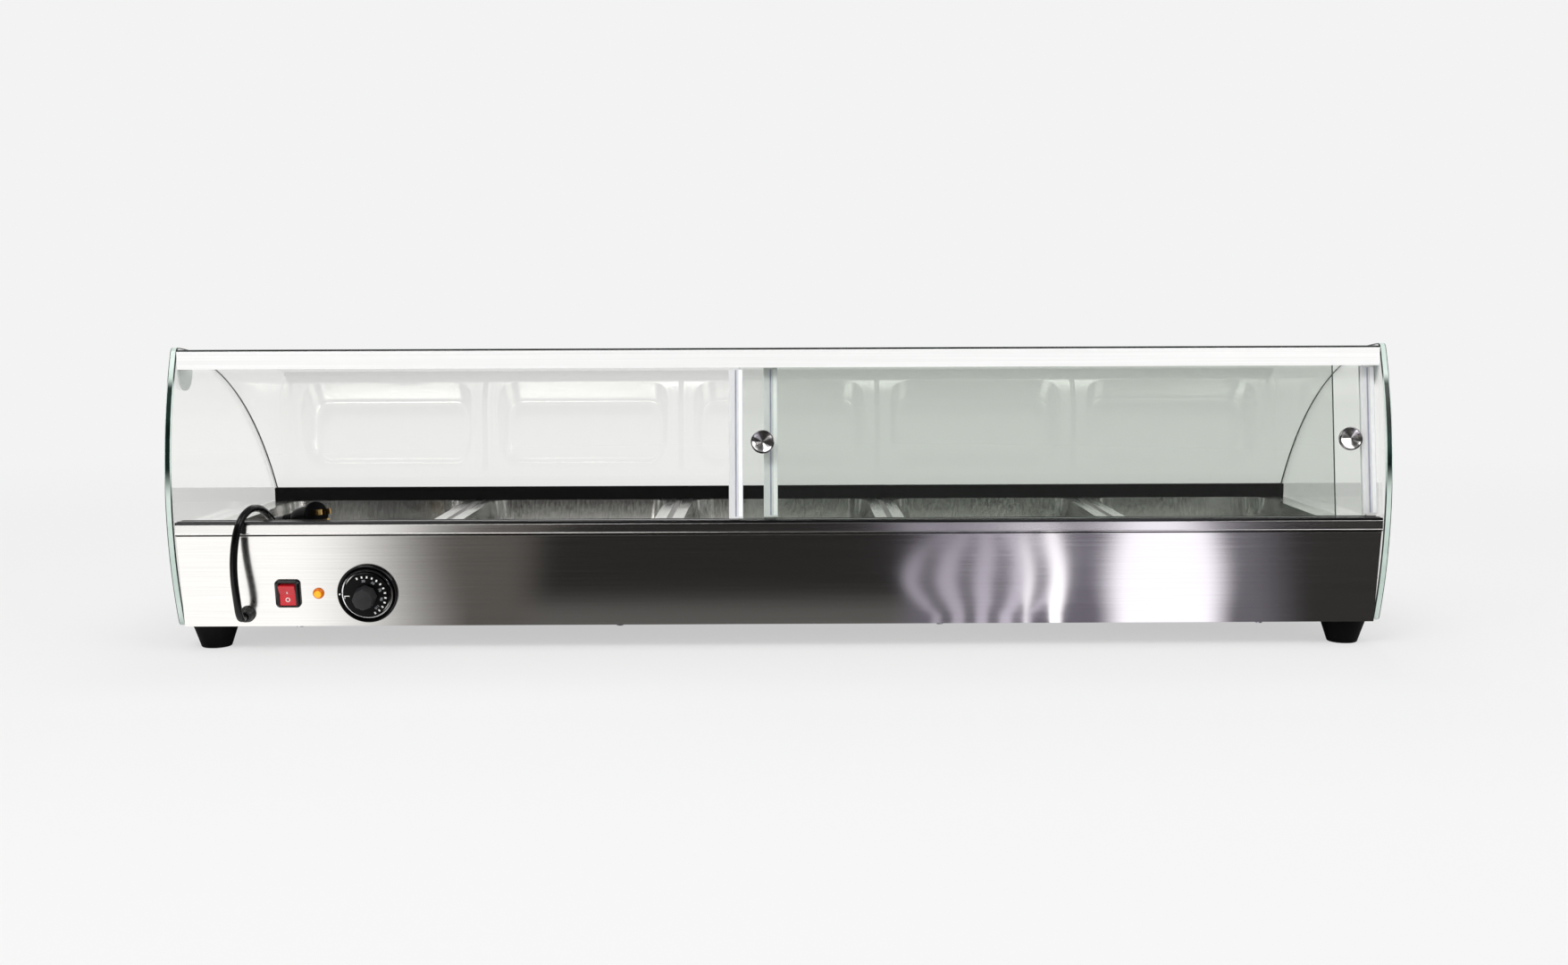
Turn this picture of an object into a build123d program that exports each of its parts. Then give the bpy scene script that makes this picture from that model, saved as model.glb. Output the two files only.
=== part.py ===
from build123d import *
import math
import os

# Heated display case with five food pans, sliding operator doors and a curved customer pane.
# X runs along the case, Y from the operator's lip towards the customer, Z up from the floor.
# Lengths are in millimetres and angles in degrees.

# Heights of the case
BODY_HEIGHT = 121.0
FOOT_HEIGHT = 28.0
DOORWAY_HEIGHT = 173.5

# Sheet metal of the base
SHEET = 1.2
SHEET_FIT = 0.2
PANEL_SLOPE = 9.0
PANEL_SETBACK = 3.5
RETURN_FLANGE = 14.0
LIP_FLANGE = 11.5
LIP_WIDTH = 28.0
LEDGE_DROP = 13.5
FRONT_LEDGE = 22.0
BAR_WIDTH = 22.0
BAR_LEG = 12.0
BAR_TAB = 10.0

# Food pans
PAN_COUNT = 5
PAN_WIDTH = 265.0
PAN_LENGTH = 325.0
PAN_GAP = 7.0
PAN_END_GAP = 11.0
PAN_DEPTH = 40.0
PAN_SHEET = 1.0
PAN_RIM = 13.5
PAN_CLEARANCE = 1.5
PAN_TAPER = 6.0
PAN_CORNER = 30.0
PAN_RIM_CORNER = 18.0
PAN_FLOOR_FILLET = 6.0
PAN_SEAT_GAP = 0.1

# Glass
SIDE_GLASS = 8.0
GLASS_TAPE = 1.0
TAPE_MARGIN = 16.0
SIDE_EDGE_RADIUS = 420.0
SIDE_EDGE_BULGE = 1.7
SIDE_EDGE_APEX = 28.0
SIDE_CORNER = 8.0
SIDE_FAR_CORNER = 16.0
SIDE_OVERLAP = 3.0
FRONT_GLASS = 5.0
FRONT_RADIUS = 460.0
FRONT_SINK = 0.3
FRONT_FOOT_RISE = 11.0
GLASS_FIT = 0.3

# Door track, top rail and front glass channel
TRACK_HEIGHT = 3.0
TRACK_INSET = 0.5
TRACK_GROOVE = 2.0
RAIL_HEIGHT = 20.5
RAIL_WALL = 2.4
RAIL_SLOT = 12.5
CHANNEL_HEIGHT = 17.5
CHANNEL_WIDTH = 22.0
CHANNEL_GAP = 1.0

# Rail brackets and their screws
BRACKET_SHEET = 1.5
BRACKET_SETBACK = 5.0
BRACKET_DROP = 25.0
BRACKET_REACH = 45.0
RAIL_SCREW_RADIUS = 1.5
RAIL_SCREW_HEAD_RADIUS = 2.8
RAIL_SCREW_LENGTH = 14.0
SCREW_FIT = 0.1

# Sliding doors
DOOR_LEAN = 8.8
DOOR_PITCH = 14.0
OUTER_DOOR_Y = 5.0
DOOR_GLASS = 5.0
DOOR_LAP = 17.8
DOOR_IN_RAIL = 8.0
DOOR_SIDE_PLAY = 0.6
DOOR_RUN_GAP = 0.3
DOOR_END_GAP = 1.0
OPEN_DOOR_END_GAP = 52.5
STRIP_WIDTH = 16.0
STRIP_THICK = 8.0
STRIP_GRIP = 4.5
STRIP_FIT = 0.15
STRIP_WALL = 1.4
STRIP_END_GAP = 1.6
KNOB_RADIUS = 13.5
KNOB_PROUD = 7.0
KNOB_NECK_RADIUS = 7.0
KNOB_NECK = 1.4
KNOB_STEM_RADIUS = 3.0
KNOB_HEIGHT = 88.0
LEFT_KNOB_INSET = 27.0
RIGHT_KNOB_INSET = 18.0
KNOB_CAP_RADIUS = 6.5
KNOB_CAP = 1.0
KNOB_FIT = 0.2

# Controls on the operator panel
CONTROL_HEIGHT = 39.5
GLAND_INSET = 74.0
GLAND_HEIGHT = 15.0
DIAL_INSET = 215.0
PILOT_GAP = 15.9
SWITCH_GAP = 14.0
BEZEL_RADIUS = 34.6
BEZEL_BORE = 27.0
BEZEL_HEIGHT = 5.0
DIAL_SKIRT_RADIUS = 26.0
DIAL_SKIRT_BASE = 3.0
DIAL_SKIRT_TOP = 11.0
DIAL_SKIRT_EDGE = 1.0
DIAL_HUB_RADIUS = 13.5
DIAL_HUB_TOP = 28.0
DIAL_HUB_TAPER = 1.5
DIAL_HUB_SIDES = 8
SHAFT_RADIUS = 3.0
SHAFT_FIT = 0.15
SHAFT_IN_DIAL = 20.0
SHAFT_IN_BODY = 12.0
THERMOSTAT_WIDTH = 44.0
THERMOSTAT_HEIGHT = 32.0
THERMOSTAT_DEPTH = 30.0
THERMOSTAT_SCREW_X = 14.0
SMALL_SCREW_RADIUS = 2.0
SMALL_SCREW_HEAD_RADIUS = 3.5
SMALL_SCREW_HEAD = 1.8
SMALL_SCREW_LENGTH = 8.0
SWITCH_WIDTH = 29.0
SWITCH_HEIGHT = 33.0
SWITCH_FRAME = 5.0
SWITCH_BODY_WIDTH = 23.0
SWITCH_BODY_HEIGHT = 30.4
SWITCH_BODY_DEPTH = 22.0
ROCKER_WIDTH = 18.6
ROCKER_LENGTH = 25.0
ROCKER_FIT = 0.3
ROCKER_SWING_ROOM = 1.6
ROCKER_POCKET = 13.0
ROCKER_PIVOT_RADIUS = 1.5
ROCKER_PIVOT_Z = -1.5
ROCKER_TILT = 10.0
ROCKER_PROUD = 1.0
PILOT_RADIUS = 6.5
PILOT_FLANGE = 1.5
PILOT_DOME = 4.0
PILOT_STEM_RADIUS = 4.8
PILOT_STEM = 12.0
PILOT_HOLDER_RADIUS = 7.5
PILOT_HOLDER = 20.0
PANEL_HOLE_FIT = 0.2

# Cable gland, mains lead and plug
GLAND_RADIUS = 9.25
GLAND_COLLAR = 4.0
GLAND_TIP_RADIUS = 6.4
GLAND_OUT = 12.0
GLAND_THREAD_RADIUS = 6.0
GLAND_THREAD = 11.0
GLAND_NUT_RADIUS = 9.5
GLAND_NUT = 5.0
CORD_RADIUS = 4.25
CORD_FIT = 0.2
CORD_IN_GLAND = 6.0
COIL_FROM_GLAND = 77.0
COIL_Y = 240.0
COIL_RADIUS = 50.0
COIL_GAP = 0.6
COIL_LAYER_TURNS = 2
COIL_END_GAP = 0.1
TIE_SHEET = 1.0
TIE_WIDTH = 6.0
TIE_FIT = 0.5
TIE_FLOOR_GAP = 0.2
PLUG_FROM_GLAND = 76.0
PLUG_Y = 47.0
PLUG_Z = 154.2
PLUG_TURN = -35.0
PLUG_TIP = 8.0
PLUG_FLANGE_RADIUS = 17.0
PLUG_FLANGE = 4.0
PLUG_BODY_RADIUS = 14.0
PLUG_GRIP_RADIUS = 10.5
PLUG_BODY = 36.0
PLUG_RELIEF_RADIUS = 7.5
PLUG_RELIEF_END_RADIUS = 5.4
PLUG_RELIEF = 22.0
PIN_SPACING = 12.7
PIN_WIDTH = 6.3
PIN_SHEET = 1.5
PIN_LENGTH = 16.5
PIN_ROOT = 9.0
EARTH_PIN_RADIUS = 2.4
EARTH_PIN_LENGTH = 19.0
EARTH_PIN_OFFSET = 7.0
PIN_FIT = 0.1

# Heating, wiring and thermostat bulb
SHIELD_WIDTH = 260.0
SHIELD_END_GAP = 50.0
SHIELD_TOP_DROP = 18.0
HEATER_RADIUS = 4.0
HEATER_ABOVE_SHIELD = 8.0
HEATER_SPAN = 120.0
HEATER_END_GAP = 60.0
HEATER_BEND = 40.0
ELEMENT_BRACKETS = 4
ELEMENT_BRACKET_SHEET = 2.0
ELEMENT_BRACKET_FOOT = 14.0
ELEMENT_BRACKET_MARGIN = 14.0
ELEMENT_BRACKET_RISE = 14.0
BRACKET_HOLE_FIT = 0.2
BULB_RADIUS = 3.0
BULB_LENGTH = 70.0
BULB_BEFORE_HEATER = 33.0
CAPILLARY_RADIUS = 1.0
CAPILLARY_BEND = 8.0
TERMINAL_INSET = 156.0
TERMINAL_Y = 57.0
TERMINAL_LENGTH = 50.0
TERMINAL_DEPTH = 18.0
TERMINAL_HEIGHT = 17.0
TERMINAL_WAYS = 4
TERMINAL_WELL_RADIUS = 3.2
TERMINAL_WELL = 7.0

# Feet and base screws
FOOT_END_GAP = 0.6
FOOT_RIM_GAP = 0.7
FOOT_FLANGE_GAP = 0.7
FOOT_TOP_RADIUS = 26.4
FOOT_BOTTOM_RADIUS = 17.0
FOOT_EDGE = 2.0
FOOT_POCKET_RADIUS = 7.0
FOOT_POCKET = 14.0
BOLT_RADIUS = 3.0
BOLT_HEAD_RADIUS = 5.5
BOLT_HEAD = 4.0
BOLT_FIT = 0.2
BOLT_ABOVE_NUT = 2.0
NUT_RADIUS = 5.8
NUT_HEIGHT = 5.0
BASE_SCREWS = 4
BASE_SCREW_END_INSET = 131.0
BASE_SCREW_IN = 9.0
BASE_SCREW_HEAD_RADIUS = 3.8
BASE_SCREW_HEAD = 2.2
BASE_SCREW_LENGTH = 9.0

# Levels and places that follow from the driving sizes
PAN_PITCH = PAN_WIDTH + PAN_GAP
BODY_LENGTH = PAN_COUNT * PAN_PITCH + 2 * PAN_END_GAP
BODY_END = BODY_LENGTH / 2
OVERALL_WIDTH = BODY_LENGTH + 2 * (SIDE_GLASS + GLASS_TAPE)
GLASS_INSIDE = OVERALL_WIDTH / 2 - SIDE_GLASS
DOORWAY_END = GLASS_INSIDE - BRACKET_SHEET
BASE_Z = FOOT_HEIGHT
LIP_Z = BASE_Z + BODY_HEIGHT
LIP_FOOT_Z = LIP_Z - LIP_FLANGE
LEDGE_Z = LIP_Z - LEDGE_DROP
TRACK_Z = LIP_Z + TRACK_HEIGHT
GROOVE_Z = TRACK_Z - TRACK_GROOVE
RAIL_Z = TRACK_Z + DOORWAY_HEIGHT
RAIL_TOP = RAIL_Z + RAIL_HEIGHT
PLATE_TOP = BASE_Z + 2 * SHEET
PAN_FRONT = LIP_WIDTH + FRONT_LEDGE
PAN_BACK = PAN_FRONT + PAN_LENGTH
PAN_MIDDLE = (PAN_FRONT + PAN_BACK) / 2
SILL_BACK = PAN_FRONT + PAN_RIM - PAN_CLEARANCE
FAR_SILL_FRONT = PAN_BACK - PAN_RIM + PAN_CLEARANCE
END_LEDGE_X = PAN_COUNT * PAN_PITCH / 2 - BAR_WIDTH / 2
PAN_BOTTOM = LEDGE_Z + PAN_SEAT_GAP + PAN_SHEET - PAN_DEPTH
PAN_FLOOR = PAN_BOTTOM + PAN_SHEET
SHIELD_Z = PAN_BOTTOM - SHIELD_TOP_DROP
HEATER_Z = SHIELD_Z + HEATER_ABOVE_SHIELD
CHANNEL_FRONT = PAN_BACK + CHANNEL_GAP
BODY_DEPTH = CHANNEL_FRONT + CHANNEL_WIDTH
HEATER_FRONT = PAN_MIDDLE - HEATER_SPAN / 2
STRIP_BEYOND = STRIP_WIDTH - STRIP_GRIP + STRIP_FIT
DOOR_WIDTH = DOORWAY_END - DOOR_END_GAP + DOOR_LAP - 2 * STRIP_BEYOND
LEFT_DOOR_X = DOORWAY_END - OPEN_DOOR_END_GAP - DOOR_WIDTH
RIGHT_DOOR_X = DOORWAY_END - DOOR_END_GAP - STRIP_BEYOND - DOOR_WIDTH
GLAND_X = GLAND_INSET - BODY_END
DIAL_X = DIAL_INSET - BODY_END
PILOT_X = DIAL_X - BEZEL_RADIUS - PILOT_GAP - PILOT_RADIUS
SWITCH_X = PILOT_X - PILOT_RADIUS - SWITCH_GAP - SWITCH_WIDTH / 2
TERMINAL_X = TERMINAL_INSET - BODY_END
COIL_X = GLAND_X + COIL_FROM_GLAND
PLUG_FACE = (GLAND_X + PLUG_FROM_GLAND, PLUG_Y, PLUG_Z)
LEAN_RISE = math.cos(math.radians(DOOR_LEAN))
LEAN_RUN = math.sin(math.radians(DOOR_LEAN))
LEAN_SLOPE = math.tan(math.radians(DOOR_LEAN))
SLOPE = math.tan(math.radians(PANEL_SLOPE))
SLOPED_SHEET = SHEET / math.cos(math.radians(PANEL_SLOPE))
SLOT_WIDTH = DOOR_GLASS + 2 * DOOR_SIDE_PLAY
UPRIGHT = (Align.CENTER, Align.CENTER, Align.MIN)


def door_y(track, z):
    """Y of a door's middle plane at height z; track 0 is the outer one."""
    return OUTER_DOOR_Y + track * DOOR_PITCH + (z - GROOVE_Z) * LEAN_SLOPE


RAIL_FRONT = door_y(0, RAIL_Z) - SLOT_WIDTH / 2 / LEAN_RISE - RAIL_WALL
RAIL_BACK = door_y(1, RAIL_Z + RAIL_SLOT) + SLOT_WIDTH / 2 / LEAN_RISE + RAIL_WALL
TRACK_BACK = door_y(1, TRACK_Z) + SLOT_WIDTH / 2 / LEAN_RISE + RAIL_WALL


def block(x0, x1, y0, y1, z0, z1):
    """Upright box between two corners."""
    middle = Pos((x0 + x1) / 2, (y0 + y1) / 2, (z0 + z1) / 2)
    return middle * Box(x1 - x0, y1 - y0, z1 - z0)


def rod(radius, length):
    """Cylinder that stands on its plane."""
    return Cylinder(radius, length, align=UPRIGHT)


def along_x(face, x0, x1):
    """A face of the YZ plane drawn out from x0 to x1."""
    return extrude(Pos(x0, 0, 0) * face, amount=x1 - x0, dir=(1, 0, 0))


def prism(outline, x0, x1):
    """A polygon of (y, z) points drawn out from x0 to x1."""
    return along_x(Plane.YZ * Polygon(*outline, align=None), x0, x1)


def folded(path):
    """Outline of a folded sheet whose outer side is path; the thickness lies to its right."""
    directions = []
    for (y0, z0), (y1, z1) in zip(path, path[1:]):
        length = math.hypot(y1 - y0, z1 - z0)
        directions.append(((z1 - z0) / length, -(y1 - y0) / length))
    befores = directions[:1] + directions
    afters = directions + directions[-1:]
    inner = []
    for (y, z), (a, b), (c, d) in zip(path, befores, afters):
        share = SHEET / (1 + a * c + b * d)
        inner.append((y + (a + c) * share, z + (b + d) * share))
    return list(path) + inner[::-1]


def mirrored(outline):
    """The same outline seen from the customer's side."""
    return [(BODY_DEPTH - y, z) for y, z in outline]


def panel_y(z, flange_foot=LIP_FOOT_Z):
    """Y of the sloping panel's outer face, from the lip side."""
    return PANEL_SETBACK + (flange_foot - z) * SLOPE


def panel_outline(flange_foot, top):
    """Sloping panel with a return flange at its foot and its head."""
    foot_y = panel_y(BASE_Z, flange_foot)
    head_y = panel_y(top, flange_foot)
    path = [
        (foot_y + RETURN_FLANGE, BASE_Z),
        (foot_y, BASE_Z),
        (head_y, top),
        (head_y + RETURN_FLANGE, top),
    ]
    return folded(path)


def panel_plane(x, height):
    """Plane on the operator panel's face: X right, Y up the slope, Z out of the panel."""
    tilt = math.radians(PANEL_SLOPE)
    z = BASE_Z + height
    return Plane(
        origin=(x, panel_y(z), z),
        x_dir=(1, 0, 0),
        z_dir=(0, -math.cos(tilt), -math.sin(tilt)),
    )


def door_plane(track):
    """Plane in the middle of a door: X right, Y up the lean, Z towards the operator."""
    return Plane(
        origin=(0, door_y(track, GROOVE_Z), GROOVE_Z),
        x_dir=(1, 0, 0),
        z_dir=(0, -LEAN_RISE, LEAN_RUN),
    )


def up_the_door(z):
    """Distance along a door from its groove's floor to height z."""
    return (z - GROOVE_Z) / LEAN_RISE


# The circle of the curved pane's middle surface passes through its two ends.
PANE_HEAD = (RAIL_FRONT + RAIL_WALL, RAIL_TOP - FRONT_SINK)
PANE_FOOT = (BODY_DEPTH - RAIL_WALL - FRONT_GLASS / 2, LEDGE_Z + FRONT_FOOT_RISE)


def pane_centre():
    """Centre of the curved pane's circle, below and behind its head."""
    dy = PANE_FOOT[0] - PANE_HEAD[0]
    dz = PANE_FOOT[1] - PANE_HEAD[1]
    chord = math.hypot(dy, dz)
    drop = math.sqrt(FRONT_RADIUS ** 2 - chord ** 2 / 4)
    middle_y = (PANE_HEAD[0] + PANE_FOOT[0]) / 2
    middle_z = (PANE_HEAD[1] + PANE_FOOT[1]) / 2
    return middle_y + dz / chord * drop, middle_z - dy / chord * drop


PANE_Y, PANE_Z = pane_centre()


def pane_point(radius, angle):
    """Point of the pane's circle, as (y, z), at an angle from the Y axis."""
    return PANE_Y + radius * math.cos(angle), PANE_Z + radius * math.sin(angle)


def curved_pane(spare, x_end, room_above=0.0):
    """The bent pane, or the space for it when spare is a clearance."""
    head = math.atan2(PANE_HEAD[1] - PANE_Z, PANE_HEAD[0] - PANE_Y) + spare / FRONT_RADIUS
    foot = math.atan2(PANE_FOOT[1] - PANE_Z, PANE_FOOT[0] - PANE_Y) - spare / FRONT_RADIUS
    middle = (head + foot) / 2
    outer = FRONT_RADIUS + FRONT_GLASS / 2 + spare + room_above
    inner = FRONT_RADIUS - FRONT_GLASS / 2 - spare
    edges = [
        ThreePointArc(*(pane_point(outer, a) for a in (head, middle, foot))),
        Line(pane_point(outer, foot), pane_point(inner, foot)),
        ThreePointArc(*(pane_point(inner, a) for a in (foot, middle, head))),
        Line(pane_point(inner, head), pane_point(outer, head)),
    ]
    return along_x(Plane.YZ * make_face(edges), -x_end, x_end)


def make_base():
    """Panels, sills, end plates, bottom plate and cross bars."""
    panel = prism(panel_outline(LIP_FOOT_Z, LIP_Z - SHEET), -BODY_END, BODY_END)
    far_foot = LEDGE_Z - LIP_FLANGE
    far_outline = mirrored(panel_outline(far_foot, LEDGE_Z - SHEET))
    far_panel = prism(far_outline, -BODY_END, BODY_END)
    sill_path = [
        (0, LIP_FOOT_Z),
        (0, LIP_Z),
        (LIP_WIDTH, LIP_Z),
        (LIP_WIDTH, LEDGE_Z),
        (SILL_BACK, LEDGE_Z),
    ]
    far_sill_path = [
        (FAR_SILL_FRONT, LEDGE_Z),
        (BODY_DEPTH, LEDGE_Z),
        (BODY_DEPTH, far_foot),
    ]
    plate_front = panel_y(BASE_Z) + 2 * SLOPED_SHEET
    plate_back = BODY_DEPTH - panel_y(BASE_Z, far_foot) - 2 * SLOPED_SHEET
    plate_end = BODY_END - SHEET - SHEET_FIT
    plate = block(-plate_end, plate_end, plate_front, plate_back, BASE_Z + SHEET, PLATE_TOP)
    for x, y in base_screw_places():
        hole = Pos(x, y, BASE_Z - SHEET) * rod(SMALL_SCREW_RADIUS + SCREW_FIT, 4 * SHEET)
        plate -= hole
        panel -= hole
        far_panel -= hole
    for x, y in foot_places():
        plate -= Pos(x, y, BASE_Z) * rod(BOLT_RADIUS + BOLT_FIT, 3 * SHEET)
    return {
        "operator_panel": panel - panel_holes(),
        "customer_panel": far_panel,
        "operator_sill": prism(folded(sill_path), -BODY_END, BODY_END),
        "customer_sill": prism(folded(far_sill_path), -BODY_END, BODY_END),
        "bottom_plate": plate,
        "end_plate_left": end_plate(-1),
        "end_plate_right": end_plate(1),
        "pan_cross_bars": cross_bars(),
    }


def end_plate(side):
    """Upright end of the base with the ledge for the outermost pan."""
    foot = BASE_Z + SHEET + SHEET_FIT
    head = LEDGE_Z - 2 * SHEET - SHEET_FIT
    far_foot = LEDGE_Z - LIP_FLANGE
    inset = SLOPED_SHEET + SHEET_FIT
    outline = [
        (panel_y(foot) + inset, foot),
        (BODY_DEPTH - panel_y(foot, far_foot) - inset, foot),
        (BODY_DEPTH - panel_y(head, far_foot) - inset, head),
        (panel_y(head) + inset, head),
    ]
    front = SILL_BACK + SHEET_FIT
    back = FAR_SILL_FRONT - SHEET_FIT
    inside = BODY_END - SHEET
    plate = prism(outline, inside, BODY_END)
    plate += block(inside, BODY_END, front, back, head - SHEET, LEDGE_Z)
    plate += block(END_LEDGE_X, BODY_END, front, back, LEDGE_Z - SHEET, LEDGE_Z)
    return plate if side > 0 else mirror(plate, about=Plane.YZ)


def pan_x(index):
    """X of a pan's middle, counted from the left."""
    return (index - (PAN_COUNT - 1) / 2) * PAN_PITCH


def cross_bars():
    """Folded bars that carry the pans' side rims between the two sills."""
    half = BAR_WIDTH / 2
    front = SILL_BACK + SHEET_FIT
    back = FAR_SILL_FRONT - SHEET_FIT
    under = LEDGE_Z - SHEET
    bar = block(-half, half, front, back, under, LEDGE_Z)
    tab_front = SILL_BACK - BAR_TAB
    tab_back = FAR_SILL_FRONT + BAR_TAB
    bar += block(-half, half, tab_front, tab_back, under - SHEET, under)
    for x0 in (-half, half - SHEET):
        bar += block(x0, x0 + SHEET, front, back, LEDGE_Z - BAR_LEG, LEDGE_Z)
    places = [(pan_x(i) + pan_x(i + 1)) / 2 for i in range(PAN_COUNT - 1)]
    return [Pos(x, 0, 0) * bar for x in places]


def pan_shape(shrink, floor_z, top_z):
    """Tapered tray block, smaller all round by shrink."""
    width = PAN_WIDTH - 2 * PAN_RIM - 2 * shrink
    length = PAN_LENGTH - 2 * PAN_RIM - 2 * shrink
    draw_in = (PAN_DEPTH - shrink) * math.tan(math.radians(PAN_TAPER))
    corner = PAN_CORNER - shrink
    head = Pos(0, 0, top_z) * RectangleRounded(width, length, corner)
    small = RectangleRounded(width - 2 * draw_in, length - 2 * draw_in, corner - draw_in)
    tray = loft([head, Pos(0, 0, floor_z) * small])
    floor_edges = tray.edges().group_by(Axis.Z)[0]
    return fillet(floor_edges, PAN_FLOOR_FILLET - shrink)


def make_pans():
    """Five pressed trays that hang by their rims."""
    rim_top = LEDGE_Z + PAN_SEAT_GAP + PAN_SHEET
    rim = RectangleRounded(PAN_WIDTH, PAN_LENGTH, PAN_RIM_CORNER)
    flange = extrude(Pos(0, 0, rim_top - PAN_SHEET) * rim, amount=PAN_SHEET, dir=(0, 0, 1))
    pan = flange + pan_shape(0, PAN_BOTTOM, rim_top)
    pan -= pan_shape(PAN_SHEET, PAN_FLOOR, rim_top)
    nodes = {}
    for index in range(PAN_COUNT):
        nodes[f"food_pan_{index + 1}"] = Pos(pan_x(index), PAN_MIDDLE, 0) * pan
    return nodes


def make_heating():
    """Element on its brackets, over the shield that keeps heat off the floor of the base."""
    shield_front = PAN_MIDDLE - SHIELD_WIDTH / 2
    shield_back = PAN_MIDDLE + SHIELD_WIDTH / 2
    shield_path = [
        (shield_front, PLATE_TOP),
        (shield_front, SHIELD_Z),
        (shield_back, SHIELD_Z),
        (shield_back, PLATE_TOP),
    ]
    shield_end = BODY_END - SHIELD_END_GAP
    heater_end = shield_end - HEATER_END_GAP
    back = HEATER_FRONT + HEATER_SPAN
    route = FilletPolyline(
        (-heater_end, HEATER_FRONT, HEATER_Z),
        (heater_end, HEATER_FRONT, HEATER_Z),
        (heater_end, back, HEATER_Z),
        (-heater_end, back, HEATER_Z),
        radius=HEATER_BEND,
    )
    section = Plane(origin=route @ 0, z_dir=route % 0) * Circle(HEATER_RADIUS)
    bulb_y = HEATER_FRONT - BULB_BEFORE_HEATER
    brackets = []
    for index in range(ELEMENT_BRACKETS):
        share = (index + 0.5) / ELEMENT_BRACKETS
        x = -heater_end + 2 * (heater_end - HEATER_BEND) * share
        brackets.append(element_bracket(x, bulb_y, back))
    return {
        "heat_shield": prism(folded(shield_path), -shield_end, shield_end),
        "heating_element": sweep(section, path=route),
        "element_brackets": brackets,
        "thermostat_capillary": capillary(brackets, bulb_y),
    }


def element_bracket(x, bulb_y, back):
    """Upright plate with holes for the element's two legs and the thermostat bulb."""
    front = bulb_y - ELEMENT_BRACKET_MARGIN
    rear = back + ELEMENT_BRACKET_MARGIN
    half = ELEMENT_BRACKET_SHEET / 2
    plate = block(x - half, x + half, front, rear, SHIELD_Z, SHIELD_Z + ELEMENT_BRACKET_RISE)
    foot_top = SHIELD_Z + ELEMENT_BRACKET_SHEET
    plate += block(x - half, x + ELEMENT_BRACKET_FOOT, front, rear, SHIELD_Z, foot_top)
    holes = (
        (HEATER_FRONT, HEATER_RADIUS),
        (back, HEATER_RADIUS),
        (bulb_y, BULB_RADIUS),
    )
    for y, radius in holes:
        plate -= Pos(x, y, HEATER_Z) * Rot(0, 90, 0) * Cylinder(radius + BRACKET_HOLE_FIT, 4 * half)
    return plate


def capillary(brackets, bulb_y):
    """Thin tube from the thermostat to the bulb that sits in the first bracket."""
    bulb_x = brackets[0].bounding_box().min.X + ELEMENT_BRACKET_SHEET / 2
    bulb_start = bulb_x - BULB_LENGTH / 2
    body_back = panel_plane(DIAL_X, CONTROL_HEIGHT).offset(-SHEET - THERMOSTAT_DEPTH)
    start = body_back.origin
    leave = start + body_back.z_dir * -2 * CAPILLARY_BEND
    route = FilletPolyline(
        start,
        leave,
        (bulb_start - 6 * CAPILLARY_BEND, bulb_y - 2 * CAPILLARY_BEND, HEATER_Z),
        (bulb_start - 2 * CAPILLARY_BEND, bulb_y, HEATER_Z),
        (bulb_start, bulb_y, HEATER_Z),
        radius=CAPILLARY_BEND,
    )
    tube = sweep(Plane(origin=start, z_dir=route % 0) * Circle(CAPILLARY_RADIUS), path=route)
    bulb = Pos(bulb_start, bulb_y, HEATER_Z) * Rot(0, 90, 0) * rod(BULB_RADIUS, BULB_LENGTH)
    return tube + bulb


def panel_holes():
    """Openings in the operator panel for the controls and the gland."""
    deep = Pos(0, 0, -4 * SHEET)
    gland = deep * rod(GLAND_THREAD_RADIUS + PANEL_HOLE_FIT, 8 * SHEET)
    pilot = deep * rod(PILOT_STEM_RADIUS + PANEL_HOLE_FIT, 8 * SHEET)
    switch = Box(
        SWITCH_BODY_WIDTH + 2 * PANEL_HOLE_FIT,
        SWITCH_BODY_HEIGHT + 2 * PANEL_HOLE_FIT,
        8 * SHEET,
    )
    holes = panel_plane(GLAND_X, GLAND_HEIGHT) * gland
    holes += panel_plane(PILOT_X, CONTROL_HEIGHT) * pilot
    holes += panel_plane(SWITCH_X, CONTROL_HEIGHT) * switch
    dial = panel_plane(DIAL_X, CONTROL_HEIGHT)
    holes += dial * deep * rod(SHAFT_RADIUS + SHAFT_FIT, 8 * SHEET)
    for x in (-THERMOSTAT_SCREW_X, THERMOSTAT_SCREW_X):
        holes += dial * Pos(x, 0, 0) * deep * rod(SMALL_SCREW_RADIUS + SCREW_FIT, 8 * SHEET)
    return holes


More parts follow.
